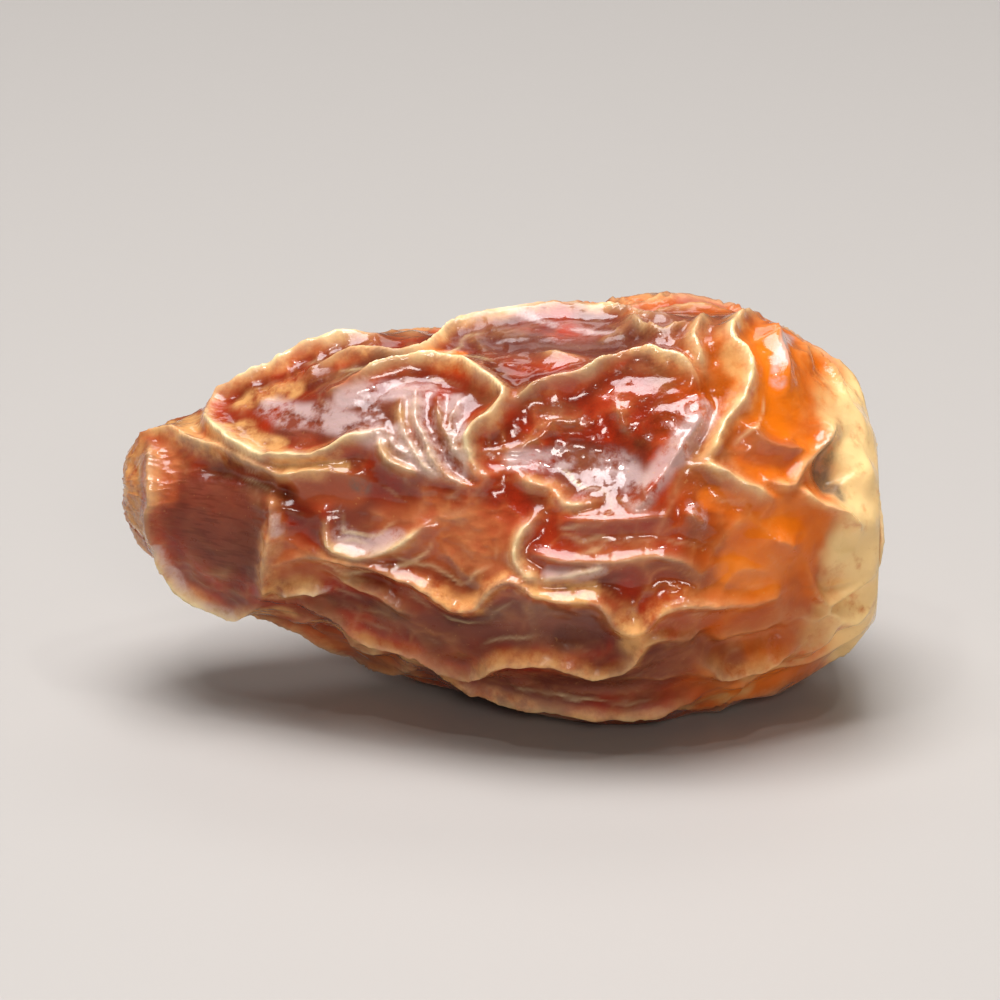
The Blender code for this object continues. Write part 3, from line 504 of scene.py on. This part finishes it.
def skinRelief(along, around, points):
    # Height of the wrinkled skin over the smooth skin, with the marks that its colours follow.
    values = fruitValues
    chief, nearest, line, band, footRedAndShade = pleatRelief(points)
    hollow, within = hollowDepth(points)
    beside = values["netBesidePleats"] + (1.0 - values["netBesidePleats"]) * ease(nearest, 1.2, 4.0)
    border, power, own = netRelief(points, values["cells"], values["cellSeed"], values["cellStretch"],
                                   values["bends"])
    rounded = np.sqrt(border**2 + 0.02) - 0.14
    net = values["foldHeight"] * power * np.exp(-rounded / (1.3 * values["foldWidth"]))
    net -= values["pocketDepth"] * own * ease(border, 0.4, 2.2)
    fineBorder, finePower = netRelief(points, values["fineCells"], values["fineSeed"], values["fineStretch"],
                                      values["fineBends"])[:2]
    patchy = 0.35 + 0.65 * ease(cloudy(points, 6.0, 71), -0.3, 0.5)
    fine = values["fineHeight"] * finePower * patchy * np.exp(-np.sqrt(fineBorder**2 + 0.004) / 0.22)
    stretched = points * np.array([0.55, 1.0, 1.0])
    sparse = 0.3 + 0.7 * ease(grain(points, 4.0, 83), -0.4, 0.6)
    thready = values["threadHeight"] * (threads(stretched, 1.1, 81) - 0.4) * sparse
    thready += 0.5 * values["threadHeight"] * (threads(stretched, 0.62, 85, 0.16) - 0.4)
    crumpled = crumplePatches(points)
    crumple = crumpled * (threads(points, 0.75, 97, 0.22) + 0.6 * cloudy(points, 0.5, 93, 2) - 0.3)
    pits = values["pitHeight"] * cloudy(points, 0.9, 95, 2)
    swell = values["swellHeight"] * ripple(points, values["swellSize"], values["swellSeed"])
    gather = values["gatherHeight"] * np.cos(values["gathers"] * around + 1.6 * np.sin(2 * around))
    gather *= ease(along, crest - 7.0, crest - 2.5) * (1.0 - ease(along, crest - 1.2, crest))
    calm = 1.0 - ease(along, crest - 3.2, crest - 0.4)
    tip = 0.35 + 0.65 * ease(along, 1.0, 3.5)
    smoothEnd = 1.0 - 0.7 * ease(points[:, 0], 30.0, 35.0)
    taut = ease(within, 0.2, 0.7)
    crinkled = crinkles(points * np.array([0.6, 1.0, 1.0]), 1.5, 131) - 0.35
    crinkled *= values["crinkleHeight"] * (0.35 + 0.65 * ease(cloudy(points, 5.0, 141), -0.35, 0.35))
    height = (chief - hollow + net * beside * (1.0 - 0.95 * taut) + swell) * calm * tip + gather
    height += ((fine + thready + crinkled + pits) * (1.0 - 0.8 * taut) * smoothEnd + crumple) * calm
    netShare = power * beside * (1.0 - 0.95 * taut)
    netLine = netShare * np.exp(-border / 0.3)
    fading = 0.25 + 0.75 * ease(cloudy(points, 3.0, 121), -0.3, 0.4)
    marks = {
        "crestLine": np.maximum(line, 0.6 * fading * netLine) * calm,
        "goldBand": np.maximum(band, netShare * (1.0 - ease(border, 0.2, 1.1))) * calm,
        "footRedAndShade": footRedAndShade * calm,
        "fineFold": finePower * patchy * (1.0 - 0.7 * taut) * np.exp(-fineBorder / 0.25) * calm,
        "pocket": np.clip(-(height - swell) / 0.8, 0.0, 1.0),
        "crumpled": np.clip(crumpled / 0.12, 0.0, 1.0),
        "stemward": ease(points[:, 0] + 1.5 * cloudy(points, 5.0, 123), 29.0, 36.0),
        "ending": ease(points[:, 0] + 0.8 * cloudy(points, 2.0, 125), 38.7, 40.5),
    }
    marks.update(tintMarks(points, around))
    return height, marks


def pinched(grid, height, strength):
    # Moves each point uphill along the skin, strength * gradient of height, which narrows the folds and
    # widens the pockets between them. The gradient comes from the steps to the points before and after.
    alongStep = np.gradient(grid, axis=0)
    roundStep = (np.roll(grid, -1, axis=1) - np.roll(grid, 1, axis=1)) / 2
    alongRise = np.gradient(height, axis=0)
    roundRise = (np.roll(height, -1, axis=1) - np.roll(height, 1, axis=1)) / 2
    e, f, g = ((a * b).sum(axis=2) for a, b in
               ((alongStep, alongStep), (alongStep, roundStep), (roundStep, roundStep)))
    area = np.maximum(e * g - f * f, 1e-6)
    uphill = (((g * alongRise - f * roundRise) / area)[..., None] * alongStep
              + ((e * roundRise - f * alongRise) / area)[..., None] * roundStep)
    steepness = np.linalg.norm(uphill, axis=2, keepdims=True)
    return uphill * strength * np.minimum(1.0, 1.5 / np.maximum(steepness, 1e-6))


def makeFruit():
    values = fruitValues
    share = np.linspace(0.0, 1.0, values["rows"])
    angle = np.arange(values["round"]) / values["round"] * math.tau - math.pi
    angle -= values["frontDetail"] * np.sin(angle)
    along, around = (part.ravel() for part in np.meshgrid(share * meridian[-1], angle, indexing="ij"))
    shape = (values["rows"], values["round"])
    smooth = smoothSkin(along, around)
    height, marks = skinRelief(along, around, smooth)
    under = ease(-smooth[:, 2], 7.0, 11.0)
    spanX, spanY = values["restSpan"]
    offSpot = np.hypot((smooth[:, 0] - values["restPlace"]) / spanX, smooth[:, 1] / spanY)
    height *= 1.0 - under * (1.0 - ease(offSpot, 0.75, 1.35))
    grid = (smooth + skinNormals(along, around) * height[:, None]).reshape(*shape, 3)
    away = ease(along, 0.5, 4.0) * (1.0 - ease(along, crest - 3.0, crest - 0.5))
    grid += pinched(grid, height.reshape(shape), values["pinch"]) * away.reshape(*shape, 1)
    low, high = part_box("fruit")
    middleY = (grid[..., 1].min() + grid[..., 1].max()) / 2
    shift = np.array([low.x / mm - grid[..., 0].min(), (low.y + high.y) / 2 / mm - middleY, -restHeight()])
    grid += shift
    grid[..., 2] = np.maximum(grid[..., 2], 0.0)
    piece = closedGrid("fruitSkin", grid, {name: value.reshape(shape) for name, value in marks.items()})
    return piece, shift


def restHeight():  # the smooth skin's lowest point, raised by the sag
    along, around = np.meshgrid(np.linspace(0.0, crest, 200), np.linspace(-math.pi, 0.0, 90))
    return smoothSkin(along.ravel(), around.ravel())[:, 2].min() + fruitValues["restSag"]


# The calyx: three dried lobes in the dish of the stem end, round the pale ring that the strand left
calyxValues = {
    "round": 300, "rows": 130,
    "radius": 4.7, "gap": 0.06, "thickness": 0.32, "lobeDepth": 0.05, "ragged": 0.05,
    "ringRadius": 1.75, "ringHeight": 0.85, "ringWidth": 0.42, "stumpHeight": 0.35, "stumpWidth": 0.75,
    "keelHeight": 0.5, "keelWidth": 0.55, "keelAngle": -100.0, "overlap": 0.16, "crumpleHeight": 0.26,
}


def calyxSurface(across, around):
    # Across runs from 0 at the middle of the outer face, over the rim at a half, to 1 inside. The face stands
    # on the dish by a gap and its own thickness, and adds the ring, the stump in it, a keel, the lobes'
    # overlaps as a sawtooth round the middle, and paper-like crumples.
    values = calyxValues
    share = 1.0 - np.abs(2.0 * across - 1.0)
    outer = across < 0.5
    level = np.zeros(len(share))
    spoke = np.stack([np.cos(around), np.sin(around), level], axis=1)
    flat, rim = spoke * share[:, None] * values["radius"], 3.0 * spoke  # where the noise is read
    lobes = 1.0 + values["lobeDepth"] * (np.cos(3 * around + 0.6) + 0.35 * np.cos(7 * around + 2.0) - 1.0)
    lobes += values["ragged"] * cloudy(rim, 0.9, 201)
    radius = values["radius"] * share * (1.0 - share * (1.0 - lobes))
    dish = stations[int(np.argmax(stations[:, 0])):][::-1]
    seat = smoothCurve(dish[:, 2], dish[:, 0], radius) + values["gap"]
    ringAt = values["ringRadius"] * (1.0 + 0.11 * np.cos(3 * around + 2.2) + 0.05 * np.cos(2 * around))
    ringTone = 1.0 + 0.18 * cloudy(flat, 1.1, 203)
    ring = values["ringHeight"] * ringTone * np.exp(-np.abs((radius - ringAt) / values["ringWidth"])**2.4)
    stump = values["stumpHeight"] * np.exp(-(radius / values["stumpWidth"])**2)
    stump *= 1.0 + 0.4 * cloudy(flat, 0.5, 205)
    between = ease(share, 0.36, 0.5)
    keelTurn = (around - math.radians(values["keelAngle"]) + math.pi) % math.tau - math.pi
    keel = values["keelHeight"] * np.exp(-(keelTurn * radius / values["keelWidth"])**2) * between
    keel *= 1.0 - ease(share, 0.8, 1.0)
    swirl = (around * 3 / math.tau + 0.10 * radius + 0.12 * cloudy(flat, 2.0, 207)) % 1.0
    overlap = values["overlap"] * ease(swirl, 0.0, 0.9) * (1.0 - ease(swirl, 0.9, 1.0)) * between
    polar = np.stack([around * 5.0, radius * 0.7, level], axis=1)
    wrinkles = threads(polar, 1.3, 209, 0.25) - 0.5 + 0.8 * cloudy(flat, 0.9, 211)
    crumple = values["crumpleHeight"] * wrinkles * between * (1.0 - 0.75 * ease(share, 0.8, 1.0))
    curl = 0.30 * ease(share, 0.86, 1.0) * (0.5 + 0.5 * cloudy(rim, 1.6, 213))
    edge = np.sqrt(np.maximum(1.0 - share**14, 0.0))
    face = values["thickness"] * edge + ring + stump + keel + overlap + crumple
    x = seat + curl + np.where(outer, face, 0.0)
    strands = np.stack([around * 14.0, radius * 0.5, level], axis=1)
    marks = {
        "ring": np.exp(-np.abs((radius - ringAt) / (values["ringWidth"] * 1.5))**3) * outer,
        "pit": np.exp(-(radius / 1.1)**4) * outer,
        "rim": ease(share, 0.90, 0.985),
        # hollow: how deep in a crumple's valley, darkened with painted shade in the finish.
        "hollow": ease(-wrinkles, -0.3, 0.6) * between * (1.0 - ease(share, 0.8, 1.0)),
        "fibre": 0.5 + 0.5 * cloudy(strands, 1.0, 215),
    }
    return inSpace(x, stations[-1, 1] + radius * np.sin(around), radius * np.cos(around)), marks


def makeCalyx(shift):
    values = calyxValues
    share = np.linspace(0.0, 1.0, values["rows"])
    angle = np.arange(values["round"]) / values["round"] * math.tau
    across, around = (part.ravel() for part in np.meshgrid(share, angle, indexing="ij"))
    places, marks = calyxSurface(across, around)
    shape = (values["rows"], values["round"])
    return closedGrid("calyxPaper", (places + shift).reshape(*shape, 3),
                      {name: value.reshape(shape) for name, value in marks.items()}, flip=True)


# Finishes

def addNode(tree, kind, place, **inputs):  # a node whose named inputs are given as values or as other sockets
    node = tree.nodes.new(kind)
    node.location = place
    for name, value in inputs.items():
        socket = node.inputs[name.replace("_", " ")]
        if isinstance(value, bpy.types.NodeSocket):
            tree.links.new(value, socket)
        else:
            socket.default_value = value
    return node


def maths(tree, operation, first, second=0.0, clamp=False):
    node = tree.nodes.new("ShaderNodeMath")
    node.operation = operation
    node.use_clamp = clamp
    for socket, value in zip(node.inputs, (first, second)):
        if isinstance(value, bpy.types.NodeSocket):
            tree.links.new(value, socket)
        else:
            socket.default_value = value
    return node.outputs[0]


def blended(tree, factor, first, second):  # one colour over another
    node = tree.nodes.new("ShaderNodeMix")
    node.data_type = "RGBA"
    for socket, value in zip((node.inputs[0], node.inputs[6], node.inputs[7]), (factor, first, second)):
        if isinstance(value, bpy.types.NodeSocket):
            tree.links.new(value, socket)
        else:
            socket.default_value = value
    return node.outputs[2]


def laidOver(tree, colour, layers):  # each layer is a share from 0 to 1, a strength and a colour
    for share, strength, over in layers:
        colour = blended(tree, maths(tree, "MULTIPLY", share, strength), colour, over)
    return colour


def stepped(tree, value, low, high):  # 0 below low, 1 above high, smooth between
    node = addNode(tree, "ShaderNodeMapRange", (0, 0), Value=value, From_Min=low, From_Max=high)
    node.interpolation_type = "SMOOTHSTEP"
    return node.outputs[0]


def mark(tree, name):  # one of the mesh's own named values
    node = tree.nodes.new("ShaderNodeAttribute")
    node.attribute_name = name
    return node.outputs["Fac"]


def noiseOf(tree, vector, scale, detail=3.0, roughness=0.55):
    return addNode(tree, "ShaderNodeTexNoise", (0, 0), Vector=vector, Scale=scale, Detail=detail,
                   Roughness=roughness).outputs["Fac"]


def buildGrainGroup():
    # Fine plant grain for every finish: soft mottling, and pores as a height for bump.
    group = bpy.data.node_groups.new("plantGrain", "ShaderNodeTree")
    group.interface.new_socket("Vector", in_out="INPUT", socket_type="NodeSocketVector")
    group.interface.new_socket("Size", in_out="INPUT", socket_type="NodeSocketFloat").default_value = 1.0
    group.interface.new_socket("Mottle", in_out="OUTPUT", socket_type="NodeSocketFloat")
    group.interface.new_socket("Height", in_out="OUTPUT", socket_type="NodeSocketFloat")
    entry, leave = group.nodes.new("NodeGroupInput"), group.nodes.new("NodeGroupOutput")
    broad = maths(group, "DIVIDE", 900.0, entry.outputs["Size"])
    narrow = maths(group, "DIVIDE", 4200.0, entry.outputs["Size"])
    mottle = noiseOf(group, entry.outputs["Vector"], broad, 4.0, 0.6)
    pores = addNode(group, "ShaderNodeTexVoronoi", (0, 0), Vector=entry.outputs["Vector"], Scale=narrow)
    soft = noiseOf(group, entry.outputs["Vector"], narrow, 2.0, 0.5)
    height = maths(group, "ADD", maths(group, "MULTIPLY", pores.outputs["Distance"], 0.6), soft)
    group.links.new(mottle, leave.inputs["Mottle"])
    group.links.new(height, leave.inputs["Height"])
    return group


def grainOf(tree, group, vector, size):
    node = tree.nodes.new("ShaderNodeGroup")
    node.node_tree = group
    tree.links.new(vector, node.inputs["Vector"])
    node.inputs["Size"].default_value = size
    return node.outputs["Mottle"], node.outputs["Height"]


def startMaterial(name):
    material = bpy.data.materials.new(name)
    material.use_nodes = True
    tree = material.node_tree
    coordinates = tree.nodes.new("ShaderNodeTexCoord").outputs["Object"]
    return material, tree, tree.nodes["Principled BSDF"], coordinates


skinFinish = {
    "deep": (0.070, 0.005, 0.0015, 1), "red": (0.39, 0.022, 0.003, 1), "brown": (0.22, 0.024, 0.005, 1),
    "mauveSheen": (0.200, 0.050, 0.028, 1), "gold": (0.86, 0.400, 0.125, 1), "amber": (0.83, 0.178, 0.003, 1),
    "orange": (0.62, 0.110, 0.005, 1), "tan": (0.70, 0.360, 0.120, 1), "cream": (1.0, 0.80, 0.43, 1),
    "straw": (0.98, 0.66, 0.29, 1), "paintedSheen": (0.66, 0.49, 0.46, 1), "dusk": (0.15, 0.100, 0.072, 1),
    "pink": (0.44, 0.088, 0.028, 1),
    "roughness": 0.17, "coatRoughness": 0.06, "coat": 0.6, "subsurface": 0.04, "subsurfaceDepth": 0.6 * mm,
    "lineTurn": (0.0, 0.6, 0.0), "lineScale": (500.0, 500.0, 3600.0),
}


def skinMaterial(group):
    # From the inside out: dark flesh with its tints, some of them painted light: a painted sheen in the mauve
    # places, and painted shade in the pockets, the deep strips and the feet of the folds, over their own
    # darker red; amber and tan towards the stem; gold where the skin stands off the flesh along a fold; a
    # pale painted sheen with painted highlights; and pale, dry crests.
    finish = skinFinish
    material, tree, shader, where = startMaterial("dateSkin")
    mottle, pores = grainOf(tree, group, where, 1.0)
    zones = noiseOf(tree, where, 260.0, 3.0)
    patches = noiseOf(tree, where, 620.0, 4.0, 0.65)
    specks = noiseOf(tree, where, 3200.0, 2.0)
    turned = addNode(tree, "ShaderNodeMapping", (0, 0), Vector=where, Rotation=finish["lineTurn"],
                     Scale=finish["lineScale"]).outputs[0]
    streaks = stepped(tree, noiseOf(tree, turned, 1.0, 2.0), 0.48, 0.60)
    # Deeper pockets of the relief take the deep red: the flesh's own darker red, partly painted shade.
    depth = maths(tree, "MULTIPLY", mark(tree, "pocket"), stepped(tree, patches, 0.35, 0.65))
    lined = maths(tree, "MULTIPLY", mark(tree, "linedTint"), streaks)
    flesh = blended(tree, stepped(tree, zones, 0.35, 0.65), finish["brown"], finish["red"])
    flesh = laidOver(tree, flesh, [
        (mark(tree, "redTint"), 0.85, finish["red"]), (depth, 0.6, finish["deep"]),
        # Mauve-brown here is a painted sheen, and the deep strips are painted shade over a dark red.
        (mark(tree, "mauveSheenTint"), 0.88, finish["mauveSheen"]), (mark(tree, "deepTint"), 0.6, finish["deep"]),
        # The feet of the folds: painted shade under each fold, over their own darker red.
        (lined, 0.35, finish["deep"]), (mark(tree, "footRedAndShade"), 0.6, finish["deep"]),
        (mark(tree, "pinkTint"), 0.75, finish["pink"]),
    ])
    # Pink places, and mauve places with their painted sheen, keep more of their colour under the amber.
    cool = maths(tree, "MULTIPLY", mark(tree, "mauveSheenTint"), 0.9)
    cool = maths(tree, "MULTIPLY", maths(tree, "MAXIMUM", mark(tree, "pinkTint"), cool), 0.6)
    warm = maths(tree, "MULTIPLY", mark(tree, "stemward"), 0.8)
    warm = maths(tree, "MAXIMUM", warm, mark(tree, "amberTint"))
    warm = maths(tree, "MULTIPLY", warm, maths(tree, "SUBTRACT", 0.94, cool))
    glow = blended(tree, stepped(tree, zones, 0.30, 0.60), finish["orange"], finish["amber"])
    pale = maths(tree, "MULTIPLY", mark(tree, "tanTint"), stepped(tree, mottle, 0.22, 0.62))
    edge = maths(tree, "MULTIPLY", mark(tree, "goldBand"), stepped(tree, patches, 0.28, 0.66))
    gold = blended(tree, stepped(tree, mottle, 0.30, 0.55), finish["orange"], finish["gold"])
    # A pale painted sheen and painted highlights.
    paintedSheen = maths(tree, "MULTIPLY", mark(tree, "paintedSheenTint"), stepped(tree, patches, 0.34, 0.54))
    bright = maths(tree, "MULTIPLY", mark(tree, "crestLine"), maths(tree, "ADD", mottle, 0.6), clamp=True)
    ending = maths(tree, "MULTIPLY", mark(tree, "ending"), stepped(tree, mottle, 0.10, 0.5))
    # Grey-brown patches: a dull patch in the dent by the stem end, and one small speck.
    greyBrownPatch = maths(tree, "MULTIPLY", mark(tree, "duskTint"), stepped(tree, mottle, 0.25, 0.60))
    dust = stepped(tree, specks, 0.68, 0.76)
    colour = laidOver(tree, flesh, [
        (warm, 1.0, glow), (pale, 0.8, finish["tan"]), (edge, 0.85, gold),
        (mark(tree, "fineFold"), 0.3, finish["gold"]), (paintedSheen, 0.62, finish["paintedSheen"]),
        (bright, 1.0, finish["cream"]), (ending, 1.0, finish["straw"]), (greyBrownPatch, 0.8, finish["dusk"]),
        (dust, 0.2, finish["tan"]),
    ])
    tree.links.new(colour, shader.inputs["Base Color"])
    rough = maths(tree, "ADD", maths(tree, "MULTIPLY", mottle, 0.25), finish["roughness"] - 0.12)
    rough = maths(tree, "ADD", rough, maths(tree, "MULTIPLY", mark(tree, "satinTint"), 0.14))
    tree.links.new(rough, shader.inputs["Roughness"])
    # Dry crests, the dry end and satin faces have less of the sticky coat, and crumples have more.
    dry = maths(tree, "MULTIPLY", bright, 0.135)
    dry = maths(tree, "MAXIMUM", dry, maths(tree, "MULTIPLY", ending, 0.45))
    dry = maths(tree, "MAXIMUM", dry, maths(tree, "MULTIPLY", mark(tree, "satinTint"), 0.54))
    wet = maths(tree, "ADD", maths(tree, "MULTIPLY", mark(tree, "crumpled"), 0.4), finish["coat"])
    tree.links.new(maths(tree, "SUBTRACT", wet, dry), shader.inputs["Coat Weight"])
    shader.inputs["Specular IOR Level"].default_value = 0.2
    shader.inputs["Coat IOR"].default_value = 1.5
    shader.inputs["Coat Roughness"].default_value = finish["coatRoughness"]
    shader.inputs["Subsurface Weight"].default_value = finish["subsurface"]
    shader.inputs["Subsurface Radius"].default_value = (1.0, 0.28, 0.08)
    shader.inputs["Subsurface Scale"].default_value = finish["subsurfaceDepth"]
    fineBump = addNode(tree, "ShaderNodeBump", (0, 0), Strength=0.45, Distance=0.03 * mm, Height=pores)
    wrinkles = noiseOf(tree, where, 1000.0, 3.0, 0.5)
    relief = maths(tree, "MULTIPLY", wrinkles, maths(tree, "ADD", mark(tree, "crumpled"), 0.35))
    bump = addNode(tree, "ShaderNodeBump", (0, 0), Strength=0.9, Distance=0.14 * mm, Height=relief,
                   Normal=fineBump.outputs["Normal"])
    tree.links.new(bump.outputs["Normal"], shader.inputs["Normal"])
    return material


calyxFinish = {
    "paper": (0.56, 0.300, 0.110, 1), "shade": (0.19, 0.078, 0.024, 1), "ring": (0.95, 0.76, 0.44, 1),
    "pit": (0.80, 0.60, 0.50, 1), "rim": (0.86, 0.62, 0.32, 1), "roughness": 0.62,
}


def calyxMaterial(group):
    finish = calyxFinish
    material, tree, shader, where = startMaterial("driedCalyx")
    mottle, pores = grainOf(tree, group, where, 0.7)
    colour = blended(tree, stepped(tree, mark(tree, "fibre"), 0.3, 0.75), finish["paper"], finish["rim"])
    blotches = stepped(tree, mottle, 0.52, 0.72)
    colour = laidOver(tree, colour, [
        # Crumple hollows take the shade colour as painted shade; blotches are the paper's own darker tone.
        (mark(tree, "hollow"), 0.9, finish["shade"]), (blotches, 0.45, finish["shade"]),
        (mark(tree, "rim"), 0.8, finish["rim"]), (mark(tree, "pit"), 1.0, finish["pit"]),
        (mark(tree, "ring"), 1.0, finish["ring"]),
    ])
    tree.links.new(colour, shader.inputs["Base Color"])
    tree.links.new(maths(tree, "ADD", maths(tree, "MULTIPLY", mottle, 0.25), finish["roughness"] - 0.12),
                   shader.inputs["Roughness"])
    shader.inputs["Subsurface Weight"].default_value = 0.08
    shader.inputs["Subsurface Radius"].default_value = (1.0, 0.5, 0.25)
    shader.inputs["Subsurface Scale"].default_value = 0.4 * mm
    bump = addNode(tree, "ShaderNodeBump", (0, 0), Strength=0.6, Distance=0.05 * mm, Height=pores)
    tree.links.new(bump.outputs["Normal"], shader.inputs["Normal"])
    return material


# The stage
stageValues = {
    "floorSize": 4.0, "floorColour": (0.45, 0.425, 0.393, 1), "worldColour": (1.0, 0.985, 0.97, 1),
    "worldStrength": 0.08, "lens": 220.0, "cameraHeight": 20.0, "cameraTurn": 0.0, "fill": 0.76,
    # Each light's name, place, size, watts and colour. All of them point at the fruit.
    "lightTarget": (0.0, 0.0, 0.012),
    "lights": [
        ("overheadSoftbox", (-0.03, -0.02, 0.45), (0.32, 0.28), 3.05, (0.98, 0.97, 1.0)),
        ("backSoftbox", (0.04, 0.30, 0.36), (0.30, 0.12), 0.28, (1.0, 0.98, 0.97)),
        ("frontSoftbox", (0.03, -0.42, 0.20), (0.12, 0.06), 0.46, (1.0, 0.95, 0.90)),
        ("leftSpark", (-0.12, -0.18, 0.38), (0.02, 0.02), 0.14, (1.0, 0.99, 0.98)),
        ("rightSpark", (0.14, -0.14, 0.38), (0.02, 0.02), 0.14, (1.0, 0.99, 0.98)),
    ],
}


def makeFloor():
    half = stageValues["floorSize"] / 2
    mesh = bpy.data.meshes.new("floor")
    corners = [(-half, -half, 0), (half, -half, 0), (half, half, 0), (-half, half, 0)]
    mesh.from_pydata(corners, [], [(0, 1, 2, 3)])
    floor = bpy.data.objects.new("floor", mesh)
    bpy.context.scene.collection.objects.link(floor)
    material, tree, shader, where = startMaterial("paleFloor")
    tone = maths(tree, "ADD", maths(tree, "MULTIPLY", noiseOf(tree, where, 300.0), 0.06), 0.55)
    tree.links.new(tone, shader.inputs["Roughness"])
    shader.inputs["Base Color"].default_value = stageValues["floorColour"]
    mesh.materials.append(material)
    floor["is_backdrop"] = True
    return floor


def areaLight(name, place, size, watts, colour):
    light = bpy.data.lights.new(name, "AREA")
    light.shape = "RECTANGLE"
    light.size, light.size_y = size
    light.energy = watts
    light.color = colour
    lamp = bpy.data.objects.new(name, light)
    lamp.location = place
    aim = Vector(stageValues["lightTarget"]) - Vector(place)
    lamp.rotation_euler = aim.to_track_quat("-Z", "Y").to_euler()
    bpy.context.scene.collection.objects.link(lamp)
    return lamp


def lightStudio():
    for light in stageValues["lights"]:
        areaLight(*light)
    world = bpy.data.worlds.new("studio")
    bpy.context.scene.world = world
    world.use_nodes = True
    background = world.node_tree.nodes["Background"]
    background.inputs["Color"].default_value = stageValues["worldColour"]
    background.inputs["Strength"].default_value = stageValues["worldStrength"]


def placeCamera():
    values = stageValues
    low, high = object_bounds()
    centre = (low + high) / 2
    camera = bpy.data.objects.new("camera", bpy.data.cameras.new("camera"))
    camera.data.lens = values["lens"]
    camera.data.sensor_width = 36.0
    distance = (high.x - low.x) / values["fill"] * values["lens"] / 36.0
    turn, height = math.radians(values["cameraTurn"]), math.radians(values["cameraHeight"])
    back = Vector((math.sin(turn) * math.cos(height), -math.cos(turn) * math.cos(height), math.sin(height)))
    camera.location = centre + back * distance
    camera.rotation_euler = (-back).to_track_quat("-Z", "Y").to_euler()
    camera.data.clip_start = 0.01
    bpy.context.scene.collection.objects.link(camera)
    bpy.context.scene.camera = camera


grainGroup = buildGrainGroup()

fruit, shift = makeFruit()
fruit.data.materials.append(skinMaterial(grainGroup))
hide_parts("fruit")
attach(fruit, "root")
print("fruit skin made,", len(fruit.data.polygons), "faces")

calyx = makeCalyx(shift)
calyx.data.materials.append(calyxMaterial(grainGroup))
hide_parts("calyx")
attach(calyx, "root")
print("calyx made,", len(calyx.data.polygons), "faces")

makeFloor()
lightStudio()
placeCamera()
bpy.context.scene.view_settings.view_transform = "Standard"
print("stage, lights and camera placed")
